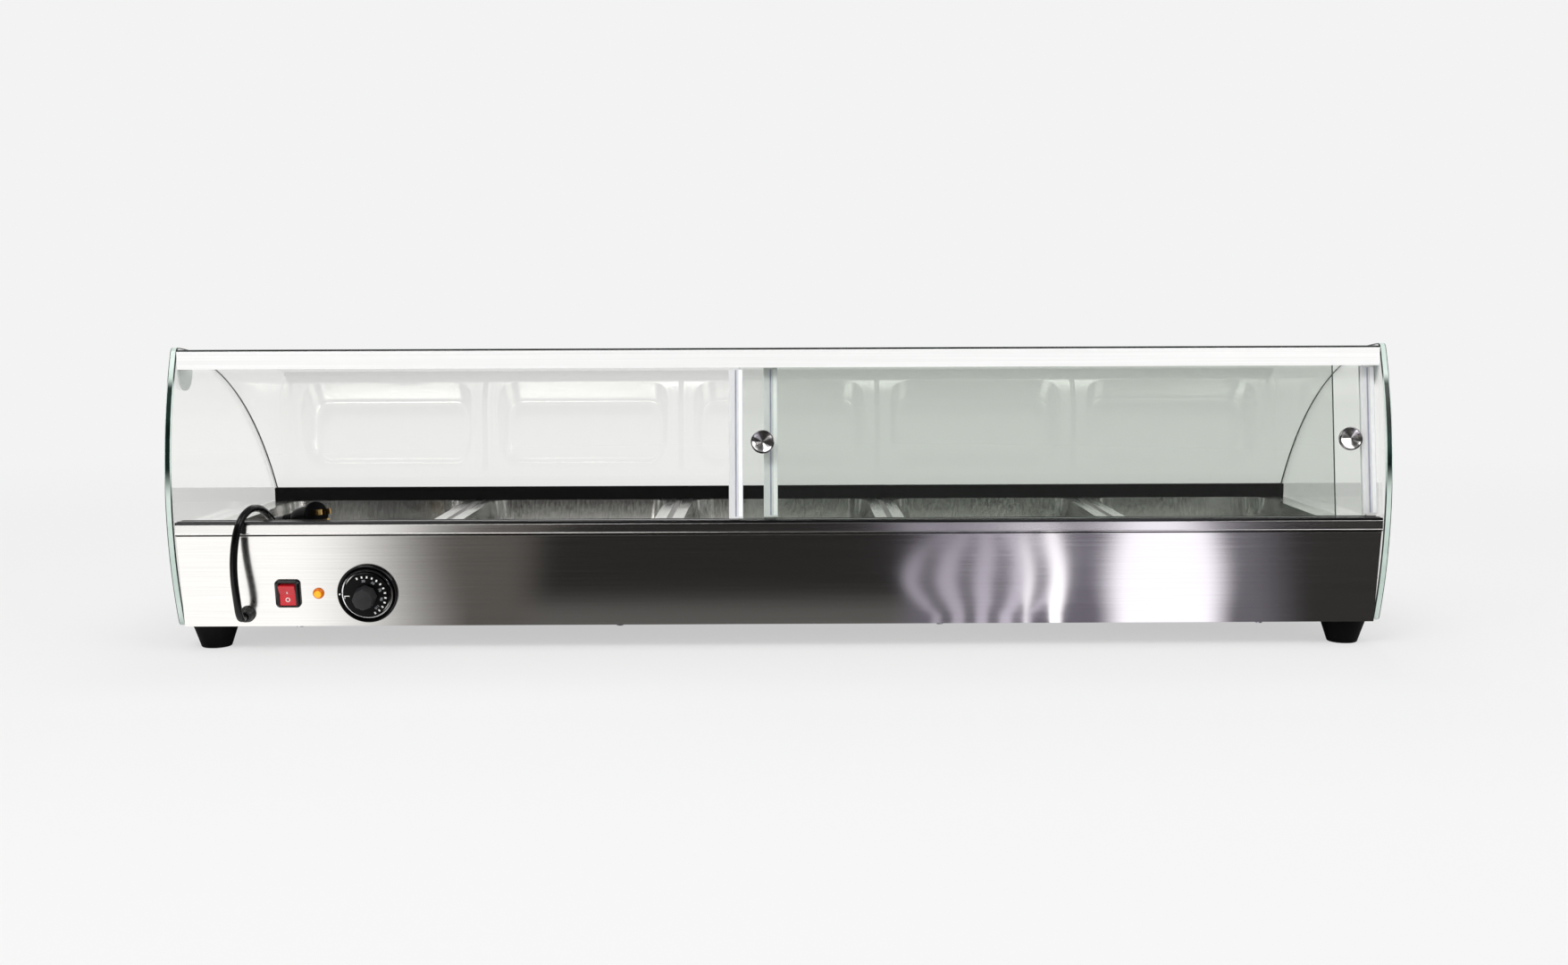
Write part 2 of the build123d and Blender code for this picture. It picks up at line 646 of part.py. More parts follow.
def make_thermostat():
    """Thermostat behind the panel, with its bezel and dial in front."""
    plane = panel_plane(DIAL_X, CONTROL_HEIGHT)
    body = Pos(0, 0, -SHEET - THERMOSTAT_DEPTH / 2) * Box(
        THERMOSTAT_WIDTH, THERMOSTAT_HEIGHT, THERMOSTAT_DEPTH
    )
    body = fillet(body.edges().filter_by(Axis.Z), 3 * SHEET)
    body -= Pos(0, 0, -SHEET - SHAFT_IN_BODY) * rod(SHAFT_RADIUS + SHAFT_FIT, 2 * SHAFT_IN_BODY)
    shaft = Pos(0, 0, -SHEET - SHAFT_IN_BODY) * rod(
        SHAFT_RADIUS, SHEET + SHAFT_IN_BODY + SHAFT_IN_DIAL
    )
    screws = []
    for x in (-THERMOSTAT_SCREW_X, THERMOSTAT_SCREW_X):
        screw = rod(SMALL_SCREW_HEAD_RADIUS, SMALL_SCREW_HEAD)
        screw += Pos(0, 0, -SMALL_SCREW_LENGTH) * rod(SMALL_SCREW_RADIUS, SMALL_SCREW_LENGTH)
        screws.append(plane * Pos(x, 0, 0) * screw)
        tapped = rod(SMALL_SCREW_RADIUS + SCREW_FIT, 2 * SMALL_SCREW_LENGTH)
        body -= Pos(x, 0, -SMALL_SCREW_LENGTH - SCREW_FIT) * tapped
    bezel = rod(BEZEL_RADIUS, BEZEL_HEIGHT)
    bezel = chamfer(bezel.edges().group_by(Axis.Z)[-1], BEZEL_HEIGHT / 3)
    bezel -= rod(BEZEL_BORE, 2 * BEZEL_HEIGHT)
    return {
        "thermostat_body": plane * body,
        "thermostat_shaft": plane * shaft,
        "thermostat_screws": screws,
        "dial_bezel": plane * bezel,
        "dial_knob": plane * dial_knob(),
    }


def dial_knob():
    """Skirted knob: a low disc for the scale and a tapered grip with flats."""
    skirt = Pos(0, 0, DIAL_SKIRT_BASE) * rod(DIAL_SKIRT_RADIUS, DIAL_SKIRT_TOP - DIAL_SKIRT_BASE)
    skirt = fillet(skirt.edges().group_by(Axis.Z)[-1], DIAL_SKIRT_EDGE)
    foot = Pos(0, 0, DIAL_SKIRT_TOP) * RegularPolygon(DIAL_HUB_RADIUS, DIAL_HUB_SIDES)
    head_shape = RegularPolygon(DIAL_HUB_RADIUS - DIAL_HUB_TAPER, DIAL_HUB_SIDES)
    hub = loft([foot, Pos(0, 0, DIAL_HUB_TOP) * head_shape])
    hub = fillet(hub.edges().group_by(Axis.Z)[-1], DIAL_HUB_TAPER)
    return skirt + hub - rod(SHAFT_RADIUS + SHAFT_FIT, SHAFT_IN_DIAL + SHAFT_FIT)


def make_switch():
    """Rocker switch: housing with its frame, and the rocker on its pivot."""
    plane = panel_plane(SWITCH_X, CONTROL_HEIGHT)
    frame = extrude(RectangleRounded(SWITCH_WIDTH, SWITCH_HEIGHT, SWITCH_FRAME), SWITCH_FRAME)
    frame = chamfer(frame.edges().group_by(Axis.Z)[-1], SWITCH_FRAME / 2)
    housing = frame + Pos(0, 0, -SWITCH_BODY_DEPTH / 2) * Box(
        SWITCH_BODY_WIDTH, SWITCH_BODY_HEIGHT, SWITCH_BODY_DEPTH
    )
    pocket_width = ROCKER_WIDTH + 2 * ROCKER_FIT
    pocket_height = ROCKER_LENGTH + 2 * ROCKER_SWING_ROOM
    pocket_depth = ROCKER_POCKET + SWITCH_FRAME
    housing -= Pos(0, 0, SWITCH_FRAME - pocket_depth / 2) * Box(
        pocket_width, pocket_height, pocket_depth
    )
    pivot = Pos(0, 0, ROCKER_PIVOT_Z) * Rot(0, 90, 0)
    housing -= pivot * Cylinder(ROCKER_PIVOT_RADIUS + ROCKER_FIT / 2, SWITCH_BODY_WIDTH)
    half = ROCKER_LENGTH / 2
    crest = SWITCH_FRAME + ROCKER_PROUD
    outline = [
        (-half * 0.75, -ROCKER_POCKET / 2),
        (half * 0.75, -ROCKER_POCKET / 2),
        (half, crest),
        (0, crest * 0.55),
        (-half, crest),
    ]
    rocker = prism(outline, -ROCKER_WIDTH / 2, ROCKER_WIDTH / 2)
    rocker += pivot * Cylinder(ROCKER_PIVOT_RADIUS, SWITCH_BODY_WIDTH - 2 * ROCKER_FIT)
    about_pivot = Pos(0, 0, ROCKER_PIVOT_Z) * Rot(ROCKER_TILT, 0, 0) * Pos(0, 0, -ROCKER_PIVOT_Z)
    return {
        "switch_housing": plane * housing,
        "switch_rocker": plane * about_pivot * rocker,
    }


def make_pilot():
    """Amber pilot lamp: lens in front of the panel, holder behind it."""
    plane = panel_plane(PILOT_X, CONTROL_HEIGHT)
    lens = rod(PILOT_RADIUS, PILOT_FLANGE + PILOT_DOME)
    lens = fillet(lens.edges().group_by(Axis.Z)[-1], PILOT_DOME)
    lens += Pos(0, 0, -PILOT_STEM) * rod(PILOT_STEM_RADIUS, PILOT_STEM)
    holder = Pos(0, 0, -SHEET - PILOT_HOLDER) * rod(PILOT_HOLDER_RADIUS, PILOT_HOLDER)
    holder -= Pos(0, 0, -PILOT_STEM - SHAFT_FIT) * rod(PILOT_STEM_RADIUS + SHAFT_FIT, 2 * PILOT_STEM)
    return {"pilot_lens": plane * lens, "pilot_holder": plane * holder}


def make_gland():
    """Cable gland through the panel, with its nut inside."""
    plane = panel_plane(GLAND_X, GLAND_HEIGHT)
    gland = rod(GLAND_RADIUS, GLAND_COLLAR)
    cone = Cone(GLAND_RADIUS, GLAND_TIP_RADIUS, GLAND_OUT - GLAND_COLLAR, align=UPRIGHT)
    gland += Pos(0, 0, GLAND_COLLAR) * cone
    gland += Pos(0, 0, -GLAND_THREAD) * rod(GLAND_THREAD_RADIUS, GLAND_THREAD)
    bore = CORD_RADIUS + CORD_FIT
    gland -= Pos(0, 0, -GLAND_THREAD) * rod(bore, GLAND_THREAD + GLAND_OUT)
    nut = extrude(RegularPolygon(GLAND_NUT_RADIUS, 6), GLAND_NUT)
    nut -= rod(GLAND_THREAD_RADIUS + SCREW_FIT, GLAND_NUT)
    return {
        "cable_gland": plane * gland,
        "gland_nut": plane * Pos(0, 0, -SHEET - GLAND_NUT) * nut,
    }


# Plug pose: the face looks along PLUG_OUT, and the lead enters at PLUG_ENTRY.
PLUG_OUT = Vector(1, 0, 0).rotate(Axis.Y, -PLUG_TIP).rotate(Axis.Z, PLUG_TURN)
PLUG_ENTRY = Vector(*PLUG_FACE) - PLUG_OUT * (PLUG_BODY + PLUG_RELIEF)
GLAND_AXIS = panel_plane(GLAND_X, GLAND_HEIGHT)
CORD_START = GLAND_AXIS.origin + GLAND_AXIS.z_dir * CORD_IN_GLAND
CORD_LEAVE = GLAND_AXIS.origin + GLAND_AXIS.z_dir * (GLAND_OUT + 2 * CORD_RADIUS)
COIL_PITCH = 2 * CORD_RADIUS + COIL_GAP
COIL_Z = PAN_FLOOR + TIE_FLOOR_GAP + TIE_SHEET + TIE_FIT + CORD_RADIUS

# The lead rises in front of the panel, goes over the lip and drops into the first pan.
LEAD_POINTS = [
    CORD_START,
    CORD_LEAVE,
    (GLAND_X - 0.5, -10.0, 46.0),
    (GLAND_X - 1.5, -13.0, 64.0),
    (GLAND_X - 3.5, -14.5, 88.0),
    (GLAND_X - 3.5, -14.0, 112.0),
    (GLAND_X - 1.0, -12.0, 136.0),
    (GLAND_X + 3.5, -7.5, 155.5),
    (GLAND_X + 10.0, 7.0, 167.0),
    (GLAND_X + 15.5, 26.0, 166.0),
    (GLAND_X + 18.5, 44.0, 157.5),
    (GLAND_X + 19.0, 63.0, 146.0),
    (GLAND_X + 17.0, 83.0, 132.5),
    (GLAND_X + 14.0, 104.0, 118.5),
    (GLAND_X + 12.8, 126.0, 108.5),
    (GLAND_X + 15.5, 149.0, COIL_Z + 1.0),
    (GLAND_X + 25.2, 169.7, COIL_Z),
    (GLAND_X + 42.0, 183.8, COIL_Z),
    (COIL_X - 16.0, COIL_Y - COIL_RADIUS, COIL_Z),
    (COIL_X, COIL_Y - COIL_RADIUS, COIL_Z),
]

# The tail leaves the coil's upper layer, passes over the lead and meets the plug.
TAIL_START = (
    COIL_X - COIL_RADIUS - COIL_PITCH / 2,
    COIL_Y - COIL_PITCH / 2 - COIL_END_GAP,
    COIL_Z + COIL_PITCH,
)
TAIL_POINTS = [
    TAIL_START,
    (TAIL_START[0], TAIL_START[1] - 15.0, TAIL_START[2]),
    (GLAND_X + 19.5, 200.0, 114.0),
    (GLAND_X + 13.0, 179.0, 118.5),
    (GLAND_X + 5.5, 158.0, 125.5),
    (GLAND_X + 0.5, 138.0, 133.0),
    (GLAND_X + 0.1, 119.8, 138.3),
    (GLAND_X + 6.0, 102.8, 141.7),
    PLUG_ENTRY - PLUG_OUT * 15.0,
    PLUG_ENTRY,
]


def corner_radii(points):
    """Largest arcs that the runs on both sides of each corner leave room for."""
    radii = []
    for before, corner, after in zip(points, points[1:], points[2:]):
        turn = math.radians((corner - before).get_angle(after - corner))
        shorter = min((corner - before).length, (after - corner).length)
        radii.append(0.45 * shorter / math.tan(turn / 2))
    return radii


def swept_cord(name, route):
    """Round tube along a route, with its length and volume printed."""
    section = Plane(origin=route @ 0, z_dir=route % 0) * Circle(CORD_RADIUS)
    tube = sweep(section, path=route)
    expected = math.pi * CORD_RADIUS ** 2 * route.length
    print(f"{name}: length {route.length:.1f} mm, volume ratio {tube.volume / expected:.4f}")
    return tube


def free_stretch(name, places):
    """Tube through hand-chosen points, with every corner rounded."""
    points = [Vector(place) for place in places]
    radii = corner_radii(points)
    print(name, "radii", [round(radius, 1) for radius in radii])
    return swept_cord(name, FilletPolyline(*points, radius=radii))


def coil_route():
    """Half turns that spiral in, climb one layer, spiral out and leave by a quarter turn."""
    inward = [COIL_RADIUS - k * COIL_PITCH / 2 for k in range(2 * COIL_LAYER_TURNS)]
    climb = COIL_RADIUS - COIL_LAYER_TURNS * COIL_PITCH
    arcs = []
    y = -COIL_RADIUS
    z = 0.0
    side = 1
    for radius in inward + [climb] + inward[::-1]:
        rise = COIL_PITCH if radius == climb else 0.0
        middle_y = y + side * radius
        end_y = y + 2 * side * radius
        middle = (side * radius, middle_y, z + rise / 2)
        arcs.append(ThreePointArc((0, y, z), middle, (0, end_y, z + rise)))
        y = end_y
        z += rise
        side = -side
    outer = COIL_RADIUS + COIL_PITCH / 2
    slant = outer * math.sqrt(0.5)
    centre_y = y - outer
    arcs.append(ThreePointArc((0, y, z), (-slant, centre_y + slant, z), (-outer, centre_y, z)))
    return Pos(COIL_X, COIL_Y, COIL_Z) * Wire(arcs)


def least_coil_gap(route):
    """Smallest gap between turns, on points a few millimetres apart along the route."""
    count = int(route.length / 2)
    points = [route @ (i / count) for i in range(count + 1)]
    apart = int(1.5 * math.pi * CORD_RADIUS)
    nearest = min(
        (points[i] - points[j]).length
        for i in range(len(points))
        for j in range(i + apart, len(points))
    )
    return nearest - 2 * CORD_RADIUS


def make_cord():
    """Mains lead from the gland to the plug, with the spare length coiled and tied."""
    coil = coil_route()
    print(f"cord_coil: least gap between turns {least_coil_gap(coil):.2f} mm")
    inner = COIL_RADIUS - COIL_LAYER_TURNS * COIL_PITCH - CORD_RADIUS - TIE_FIT
    outer = COIL_RADIUS + CORD_RADIUS + TIE_FIT
    low = -CORD_RADIUS - TIE_FIT
    high = COIL_PITCH + CORD_RADIUS + TIE_FIT
    tie = block(inner - TIE_SHEET, outer + TIE_SHEET, -TIE_WIDTH / 2, TIE_WIDTH / 2,
                low - TIE_SHEET, high + TIE_SHEET)
    tie -= block(inner, outer, -TIE_WIDTH, TIE_WIDTH, low, high)
    return {
        "cord_lead": free_stretch("cord_lead", LEAD_POINTS),
        "cord_coil": swept_cord("cord_coil", coil),
        "cord_tail": free_stretch("cord_tail", TAIL_POINTS),
        "cord_tie": Pos(COIL_X, COIL_Y, COIL_Z) * tie,
    }


def make_plug():
    """Moulded plug with two flat pins and an earth pin."""
    level = PLUG_OUT.cross(Vector(0, 0, 1))
    plane = Plane(origin=PLUG_FACE, x_dir=level, z_dir=PLUG_OUT)
    grip = PLUG_BODY - PLUG_FLANGE
    flange = Pos(0, 0, -PLUG_FLANGE) * rod(PLUG_FLANGE_RADIUS, PLUG_FLANGE)
    flange = fillet(flange.edges().filter_by(GeomType.CIRCLE), PLUG_FLANGE / 4)
    body = Pos(0, 0, -PLUG_BODY) * Cone(PLUG_GRIP_RADIUS, PLUG_BODY_RADIUS, grip, align=UPRIGHT)
    body = fillet(body.edges().group_by(Axis.Z)[0], PLUG_FLANGE / 2)
    relief = Cone(PLUG_RELIEF_END_RADIUS, PLUG_RELIEF_RADIUS, PLUG_RELIEF, align=UPRIGHT)
    plug = flange + body + Pos(0, 0, -PLUG_BODY - PLUG_RELIEF) * relief
    pins = []
    for x in (-PIN_SPACING / 2, PIN_SPACING / 2):
        length = PIN_ROOT + PIN_LENGTH
        place = Pos(x, -EARTH_PIN_OFFSET / 2, PIN_LENGTH - length / 2)
        pins.append(plane * place * Box(PIN_SHEET, PIN_WIDTH, length))
        plug -= place * Box(PIN_SHEET + 2 * PIN_FIT, PIN_WIDTH + 2 * PIN_FIT, length + 2 * PIN_FIT)
    place = Pos(0, EARTH_PIN_OFFSET, -PIN_ROOT)
    pins.append(plane * place * rod(EARTH_PIN_RADIUS, PIN_ROOT + EARTH_PIN_LENGTH))
    socket = rod(EARTH_PIN_RADIUS + PIN_FIT, PIN_ROOT + EARTH_PIN_LENGTH)
    plug -= Pos(0, EARTH_PIN_OFFSET, -PIN_ROOT - PIN_FIT) * socket
    return {"plug_body": plane * plug, "plug_pins": pins}


def make_terminal_block():
    """Terminal block on the bottom plate, with a well for each screw."""
    terminal = block(
        TERMINAL_X - TERMINAL_LENGTH / 2,
        TERMINAL_X + TERMINAL_LENGTH / 2,
        TERMINAL_Y - TERMINAL_DEPTH / 2,
        TERMINAL_Y + TERMINAL_DEPTH / 2,
        PLATE_TOP,
        PLATE_TOP + TERMINAL_HEIGHT,
    )
    for index in range(TERMINAL_WAYS):
        share = (index + 0.5) / TERMINAL_WAYS - 0.5
        place = Pos(TERMINAL_X + share * TERMINAL_LENGTH, TERMINAL_Y, PLATE_TOP + TERMINAL_HEIGHT)
        terminal -= place * Cylinder(TERMINAL_WELL_RADIUS, 2 * TERMINAL_WELL)
    return {"terminal_block": terminal}


def side_edge_y(z):
    """Y of the side glass's bowed edge towards the operator."""
    apex = TRACK_Z + SIDE_EDGE_APEX - z
    return SIDE_EDGE_RADIUS - SIDE_EDGE_BULGE - math.sqrt(SIDE_EDGE_RADIUS ** 2 - apex ** 2)


def side_outline():
    """Outline of a side glass: bowed towards the operator, concentric with the curved pane."""
    outer = FRONT_RADIUS + FRONT_GLASS / 2 + SIDE_OVERLAP
    top = PANE_Z + outer
    for _ in range(20):
        near_y = side_edge_y(top)
        top = PANE_Z + math.sqrt(outer ** 2 - (near_y - PANE_Y) ** 2)
    foot_y = side_edge_y(BASE_Z)
    middle_z = (BASE_Z + top) / 2
    far_y = BODY_DEPTH + SIDE_OVERLAP
    far_angle = math.acos((far_y - PANE_Y) / outer)
    near_angle = math.atan2(top - PANE_Z, near_y - PANE_Y)
    far_foot_y = BODY_DEPTH - panel_y(BASE_Z, LEDGE_Z - LIP_FLANGE) + SIDE_OVERLAP
    far_top = pane_point(outer, far_angle)
    near_top = pane_point(outer, near_angle)
    crown = pane_point(outer, (near_angle + far_angle) / 2)
    edges = [
        ThreePointArc((foot_y, BASE_Z), (side_edge_y(middle_z), middle_z), near_top),
        ThreePointArc(near_top, crown, far_top),
        Line(far_top, (far_foot_y, BASE_Z)),
        Line((far_foot_y, BASE_Z), (foot_y, BASE_Z)),
    ]
    face = make_face(edges)
    far_corner = face.vertices().sort_by_distance((*far_top, 0))[0]
    others = [v for v in face.vertices() if v is not far_corner]
    face = fillet(others, SIDE_CORNER)
    far_corner = face.vertices().sort_by_distance((*far_top, 0))[0]
    return fillet(far_corner, SIDE_FAR_CORNER)


def tape_outline():
    """Patch of mounting tape on the end plate, inside its edges by a margin."""
    foot = BASE_Z + TAPE_MARGIN
    head = LEDGE_Z - TAPE_MARGIN
    inset = panel_y(foot) + TAPE_MARGIN
    return [(inset, foot), (BODY_DEPTH - inset, foot), (BODY_DEPTH - inset, head), (inset, head)]


def make_glass():
    """Side glasses on their tape, and the curved customer pane in its channel."""
    side = along_x(Plane.YZ * side_outline(), GLASS_INSIDE, OVERALL_WIDTH / 2)
    tape = prism(tape_outline(), BODY_END, GLASS_INSIDE)
    far_wall = LEDGE_Z + CHANNEL_HEIGHT * 0.75
    channel = prism(
        [
            (CHANNEL_FRONT, LEDGE_Z),
            (BODY_DEPTH, LEDGE_Z),
            (BODY_DEPTH, far_wall),
            (BODY_DEPTH - 2 * RAIL_WALL, LEDGE_Z + CHANNEL_HEIGHT),
            (CHANNEL_FRONT, LEDGE_Z + CHANNEL_HEIGHT),
        ],
        -BODY_END,
        BODY_END,
    )
    return {
        "side_glass_left": mirror(side, about=Plane.YZ),
        "side_glass_right": side,
        "glass_tape_left": mirror(tape, about=Plane.YZ),
        "glass_tape_right": tape,
        "front_glass": curved_pane(0.0, GLASS_INSIDE - GLASS_FIT),
        "front_glass_channel": channel - curved_pane(GLASS_FIT, OVERALL_WIDTH),
    }


def make_rail():
    """Top rail with two door slots, its end brackets and their screws."""
    rail = block(-DOORWAY_END, DOORWAY_END, RAIL_FRONT, RAIL_BACK, RAIL_Z, RAIL_TOP)
    for track in (0, 1):
        reach = up_the_door(RAIL_Z + RAIL_SLOT)
        slot = Pos(0, reach / 2, 0) * Box(OVERALL_WIDTH, reach, SLOT_WIDTH)
        rail -= door_plane(track) * slot
    pane_space = curved_pane(GLASS_FIT, OVERALL_WIDTH, RAIL_HEIGHT)
    rail -= pane_space
    bracket = rail_bracket() - pane_space
    screws = []
    for place in rail_screw_places():
        screw = place * Cone(RAIL_SCREW_RADIUS, RAIL_SCREW_HEAD_RADIUS, BRACKET_SHEET, align=UPRIGHT)
        screw += place * Pos(0, 0, -RAIL_SCREW_LENGTH) * rod(RAIL_SCREW_RADIUS, RAIL_SCREW_LENGTH)
        seat = place * Cone(
            RAIL_SCREW_RADIUS + SCREW_FIT,
            RAIL_SCREW_HEAD_RADIUS + SCREW_FIT,
            BRACKET_SHEET,
            align=UPRIGHT,
        )
        hole = Pos(0, 0, -RAIL_SCREW_LENGTH - SCREW_FIT) * rod(
            RAIL_SCREW_RADIUS + SCREW_FIT, RAIL_SCREW_LENGTH + SCREW_FIT
        )
        bracket -= seat
        rail -= place * hole
        rail -= mirror(place * hole, about=Plane.YZ)
        screws += [screw, mirror(screw, about=Plane.YZ)]
    return {
        "top_rail": rail,
        "rail_bracket_left": mirror(bracket, about=Plane.YZ),
        "rail_bracket_right": bracket,
        "rail_screws": screws,
    }


def rail_bracket():
    """Thin end plate of the rail with a D-shaped tongue below it."""
    front = RAIL_FRONT + BRACKET_SETBACK
    head = RAIL_TOP - FRONT_SINK - FRONT_GLASS
    back = front + BRACKET_REACH
    middle = (front + back) / 2
    edges = [
        Line((front, RAIL_Z), (front, head)),
        Line((front, head), (RAIL_BACK, head)),
        Line((RAIL_BACK, head), (RAIL_BACK, RAIL_Z)),
        Line((RAIL_BACK, RAIL_Z), (back, RAIL_Z)),
        ThreePointArc((back, RAIL_Z), (middle, RAIL_Z - BRACKET_DROP), (front, RAIL_Z)),
    ]
    return along_x(Plane.YZ * make_face(edges), DOORWAY_END, GLASS_INSIDE)


def rail_screw_places():
    """Places of the two screws at the right end of the rail, pointing outwards."""
    places = []
    for share in (0.28, 0.8):
        z = RAIL_Z + share * RAIL_SLOT
        places.append(Pos(DOORWAY_END, (door_y(0, z) + door_y(1, z)) / 2, z) * Rot(0, 90, 0))
    return places


def make_track():
    """Lower door track with two leaning grooves."""
    track = block(-BODY_END, BODY_END, TRACK_INSET, TRACK_BACK, LIP_Z, TRACK_Z)
    for index in (0, 1):
        groove = Pos(0, TRACK_HEIGHT, 0) * Box(OVERALL_WIDTH, 2 * TRACK_HEIGHT, SLOT_WIDTH)
        track -= door_plane(index) * groove
    return {"lower_door_track": track}


def edge_strip(glass_edge, outward, plane):
    """Clear hollow strip that grips a door's upright edge."""
    low = up_the_door(TRACK_Z) + STRIP_END_GAP
    high = up_the_door(RAIL_Z) - STRIP_END_GAP
    section = Rectangle(STRIP_WIDTH, STRIP_THICK)
    section -= Pos(-STRIP_WIDTH / 2 + STRIP_GRIP / 2, 0) * Rectangle(
        STRIP_GRIP, DOOR_GLASS + 2 * STRIP_FIT
    )
    section -= Pos(STRIP_GRIP / 2, 0) * Rectangle(
        STRIP_WIDTH - STRIP_GRIP - 2 * STRIP_WALL, STRIP_THICK - 2 * STRIP_WALL
    )
    strip = extrude(section, amount=high - low, dir=(0, 0, 1))
    upright = Rot(-90, 0, 0) * strip
    if outward < 0:
        upright = mirror(upright, about=Plane.YZ)
    middle = glass_edge + outward * (STRIP_BEYOND - STRIP_WIDTH / 2)
    return plane * Pos(middle, low, 0) * upright


def door_knob(plane, x):
    """Turned knob with its stem through the glass, and the cap behind."""
    place = plane * Pos(x, up_the_door(TRACK_Z + KNOB_HEIGHT), 0)
    front = DOOR_GLASS / 2
    disc = rod(KNOB_RADIUS, KNOB_PROUD - KNOB_NECK)
    disc = chamfer(disc.edges().group_by(Axis.Z)[-1], KNOB_NECK / 2)
    knob = Pos(0, 0, front + KNOB_NECK) * disc
    knob += Pos(0, 0, front) * rod(KNOB_NECK_RADIUS, KNOB_NECK)
    stem = rod(KNOB_STEM_RADIUS, DOOR_GLASS + KNOB_CAP + KNOB_NECK)
    knob += Pos(0, 0, -front - KNOB_CAP) * stem
    cap = rod(KNOB_CAP_RADIUS, KNOB_CAP) - rod(KNOB_STEM_RADIUS + KNOB_FIT, KNOB_CAP)
    return place * knob, place * Pos(0, 0, -front - KNOB_CAP) * cap


def door_glass(plane, x0, knob_x):
    """Door pane with rounded corners and the hole for its knob."""
    height = up_the_door(RAIL_Z + DOOR_IN_RAIL) - DOOR_RUN_GAP
    sheet = extrude(RectangleRounded(DOOR_WIDTH, height, TRACK_GROOVE / 2), DOOR_GLASS / 2, both=True)
    pane = Pos(x0 + DOOR_WIDTH / 2, DOOR_RUN_GAP + height / 2, 0) * sheet
    hole = Cylinder(KNOB_STEM_RADIUS + KNOB_FIT, 2 * DOOR_GLASS)
    pane -= Pos(knob_x, up_the_door(TRACK_Z + KNOB_HEIGHT), 0) * hole
    return plane * pane


def make_doors():
    """Outer door, slid to the right, and inner door, closed."""
    outer = door_plane(0)
    inner = door_plane(1)
    left_knob_x = LEFT_DOOR_X + LEFT_KNOB_INSET
    left_knob, left_cap = door_knob(outer, left_knob_x)
    right_knob_x = RIGHT_DOOR_X + DOOR_WIDTH - RIGHT_KNOB_INSET
    right_knob, right_cap = door_knob(inner, right_knob_x)
    return {
        "left_door_glass": door_glass(outer, LEFT_DOOR_X, left_knob_x),
        "left_door_edge_strip": edge_strip(LEFT_DOOR_X, -1, outer),
        "left_door_knob": left_knob,
        "left_door_knob_cap": left_cap,
        "right_door_glass": door_glass(inner, RIGHT_DOOR_X, right_knob_x),
        "right_door_edge_strips": [
            edge_strip(RIGHT_DOOR_X, -1, inner),
            edge_strip(RIGHT_DOOR_X + DOOR_WIDTH, 1, inner),
        ],
        "right_door_knob": right_knob,
        "right_door_knob_cap": right_cap,
    }


def foot_places():
    """X and Y of the four feet."""
    inset = FOOT_RIM_GAP + FOOT_TOP_RADIUS
    near = panel_y(BASE_Z) + inset
    far = BODY_DEPTH - panel_y(BASE_Z, LEDGE_Z - LIP_FLANGE) - inset
    x = BODY_END - FOOT_END_GAP - FOOT_TOP_RADIUS
    return [(-x, near), (-x, far), (x, near), (x, far)]


def base_screw_places():
    """X and Y of the screws through the panels' lower flanges."""
    near = panel_y(BASE_Z) + BASE_SCREW_IN
    far = BODY_DEPTH - panel_y(BASE_Z, LEDGE_Z - LIP_FLANGE) - BASE_SCREW_IN
    first = BASE_SCREW_END_INSET - BODY_END
    step = -2 * first / (BASE_SCREWS - 1)
    return [(first + index * step, y) for index in range(BASE_SCREWS) for y in (near, far)]


def make_feet():
    """Tapered rubber feet with their bolts and nuts, and the base screws."""
    top = BASE_Z + SHEET
    boss_radius = FOOT_RIM_GAP + FOOT_TOP_RADIUS - RETURN_FLANGE - FOOT_FLANGE_GAP
    foot = Cone(FOOT_BOTTOM_RADIUS, FOOT_TOP_RADIUS, BASE_Z, align=UPRIGHT)
    foot = fillet(foot.edges().group_by(Axis.Z)[0], FOOT_EDGE)
    foot += Pos(0, 0, BASE_Z / 2) * rod(boss_radius, top - BASE_Z / 2)
    foot -= rod(FOOT_POCKET_RADIUS, FOOT_POCKET)
    foot -= rod(BOLT_RADIUS + BOLT_FIT, top)
    head_z = FOOT_POCKET - BOLT_HEAD
    shank = PLATE_TOP + NUT_HEIGHT + BOLT_ABOVE_NUT - FOOT_POCKET
    bolt = Pos(0, 0, head_z) * rod(BOLT_HEAD_RADIUS, BOLT_HEAD)
    bolt += Pos(0, 0, FOOT_POCKET) * rod(BOLT_RADIUS, shank)
    nut = Pos(0, 0, PLATE_TOP) * extrude(RegularPolygon(NUT_RADIUS, 6), NUT_HEIGHT)
    nut -= Pos(0, 0, PLATE_TOP) * rod(BOLT_RADIUS + BOLT_FIT, NUT_HEIGHT)
    screw = Pos(0, 0, BASE_Z - BASE_SCREW_HEAD) * rod(BASE_SCREW_HEAD_RADIUS, BASE_SCREW_HEAD)
    screw += Pos(0, 0, BASE_Z) * rod(SMALL_SCREW_RADIUS, BASE_SCREW_LENGTH)
    return {
        "feet": [Pos(x, y, 0) * foot for x, y in foot_places()],
        "foot_bolts": [Pos(x, y, 0) * bolt for x, y in foot_places()],
        "foot_nuts": [Pos(x, y, 0) * nut for x, y in foot_places()],
        "base_screws": [Pos(x, y, 0) * screw for x, y in base_screw_places()],
    }


CORD_NODES = ("cord_lead", "cord_coil", "cord_tail", "cord_tie", "plug_body", "plug_pins")


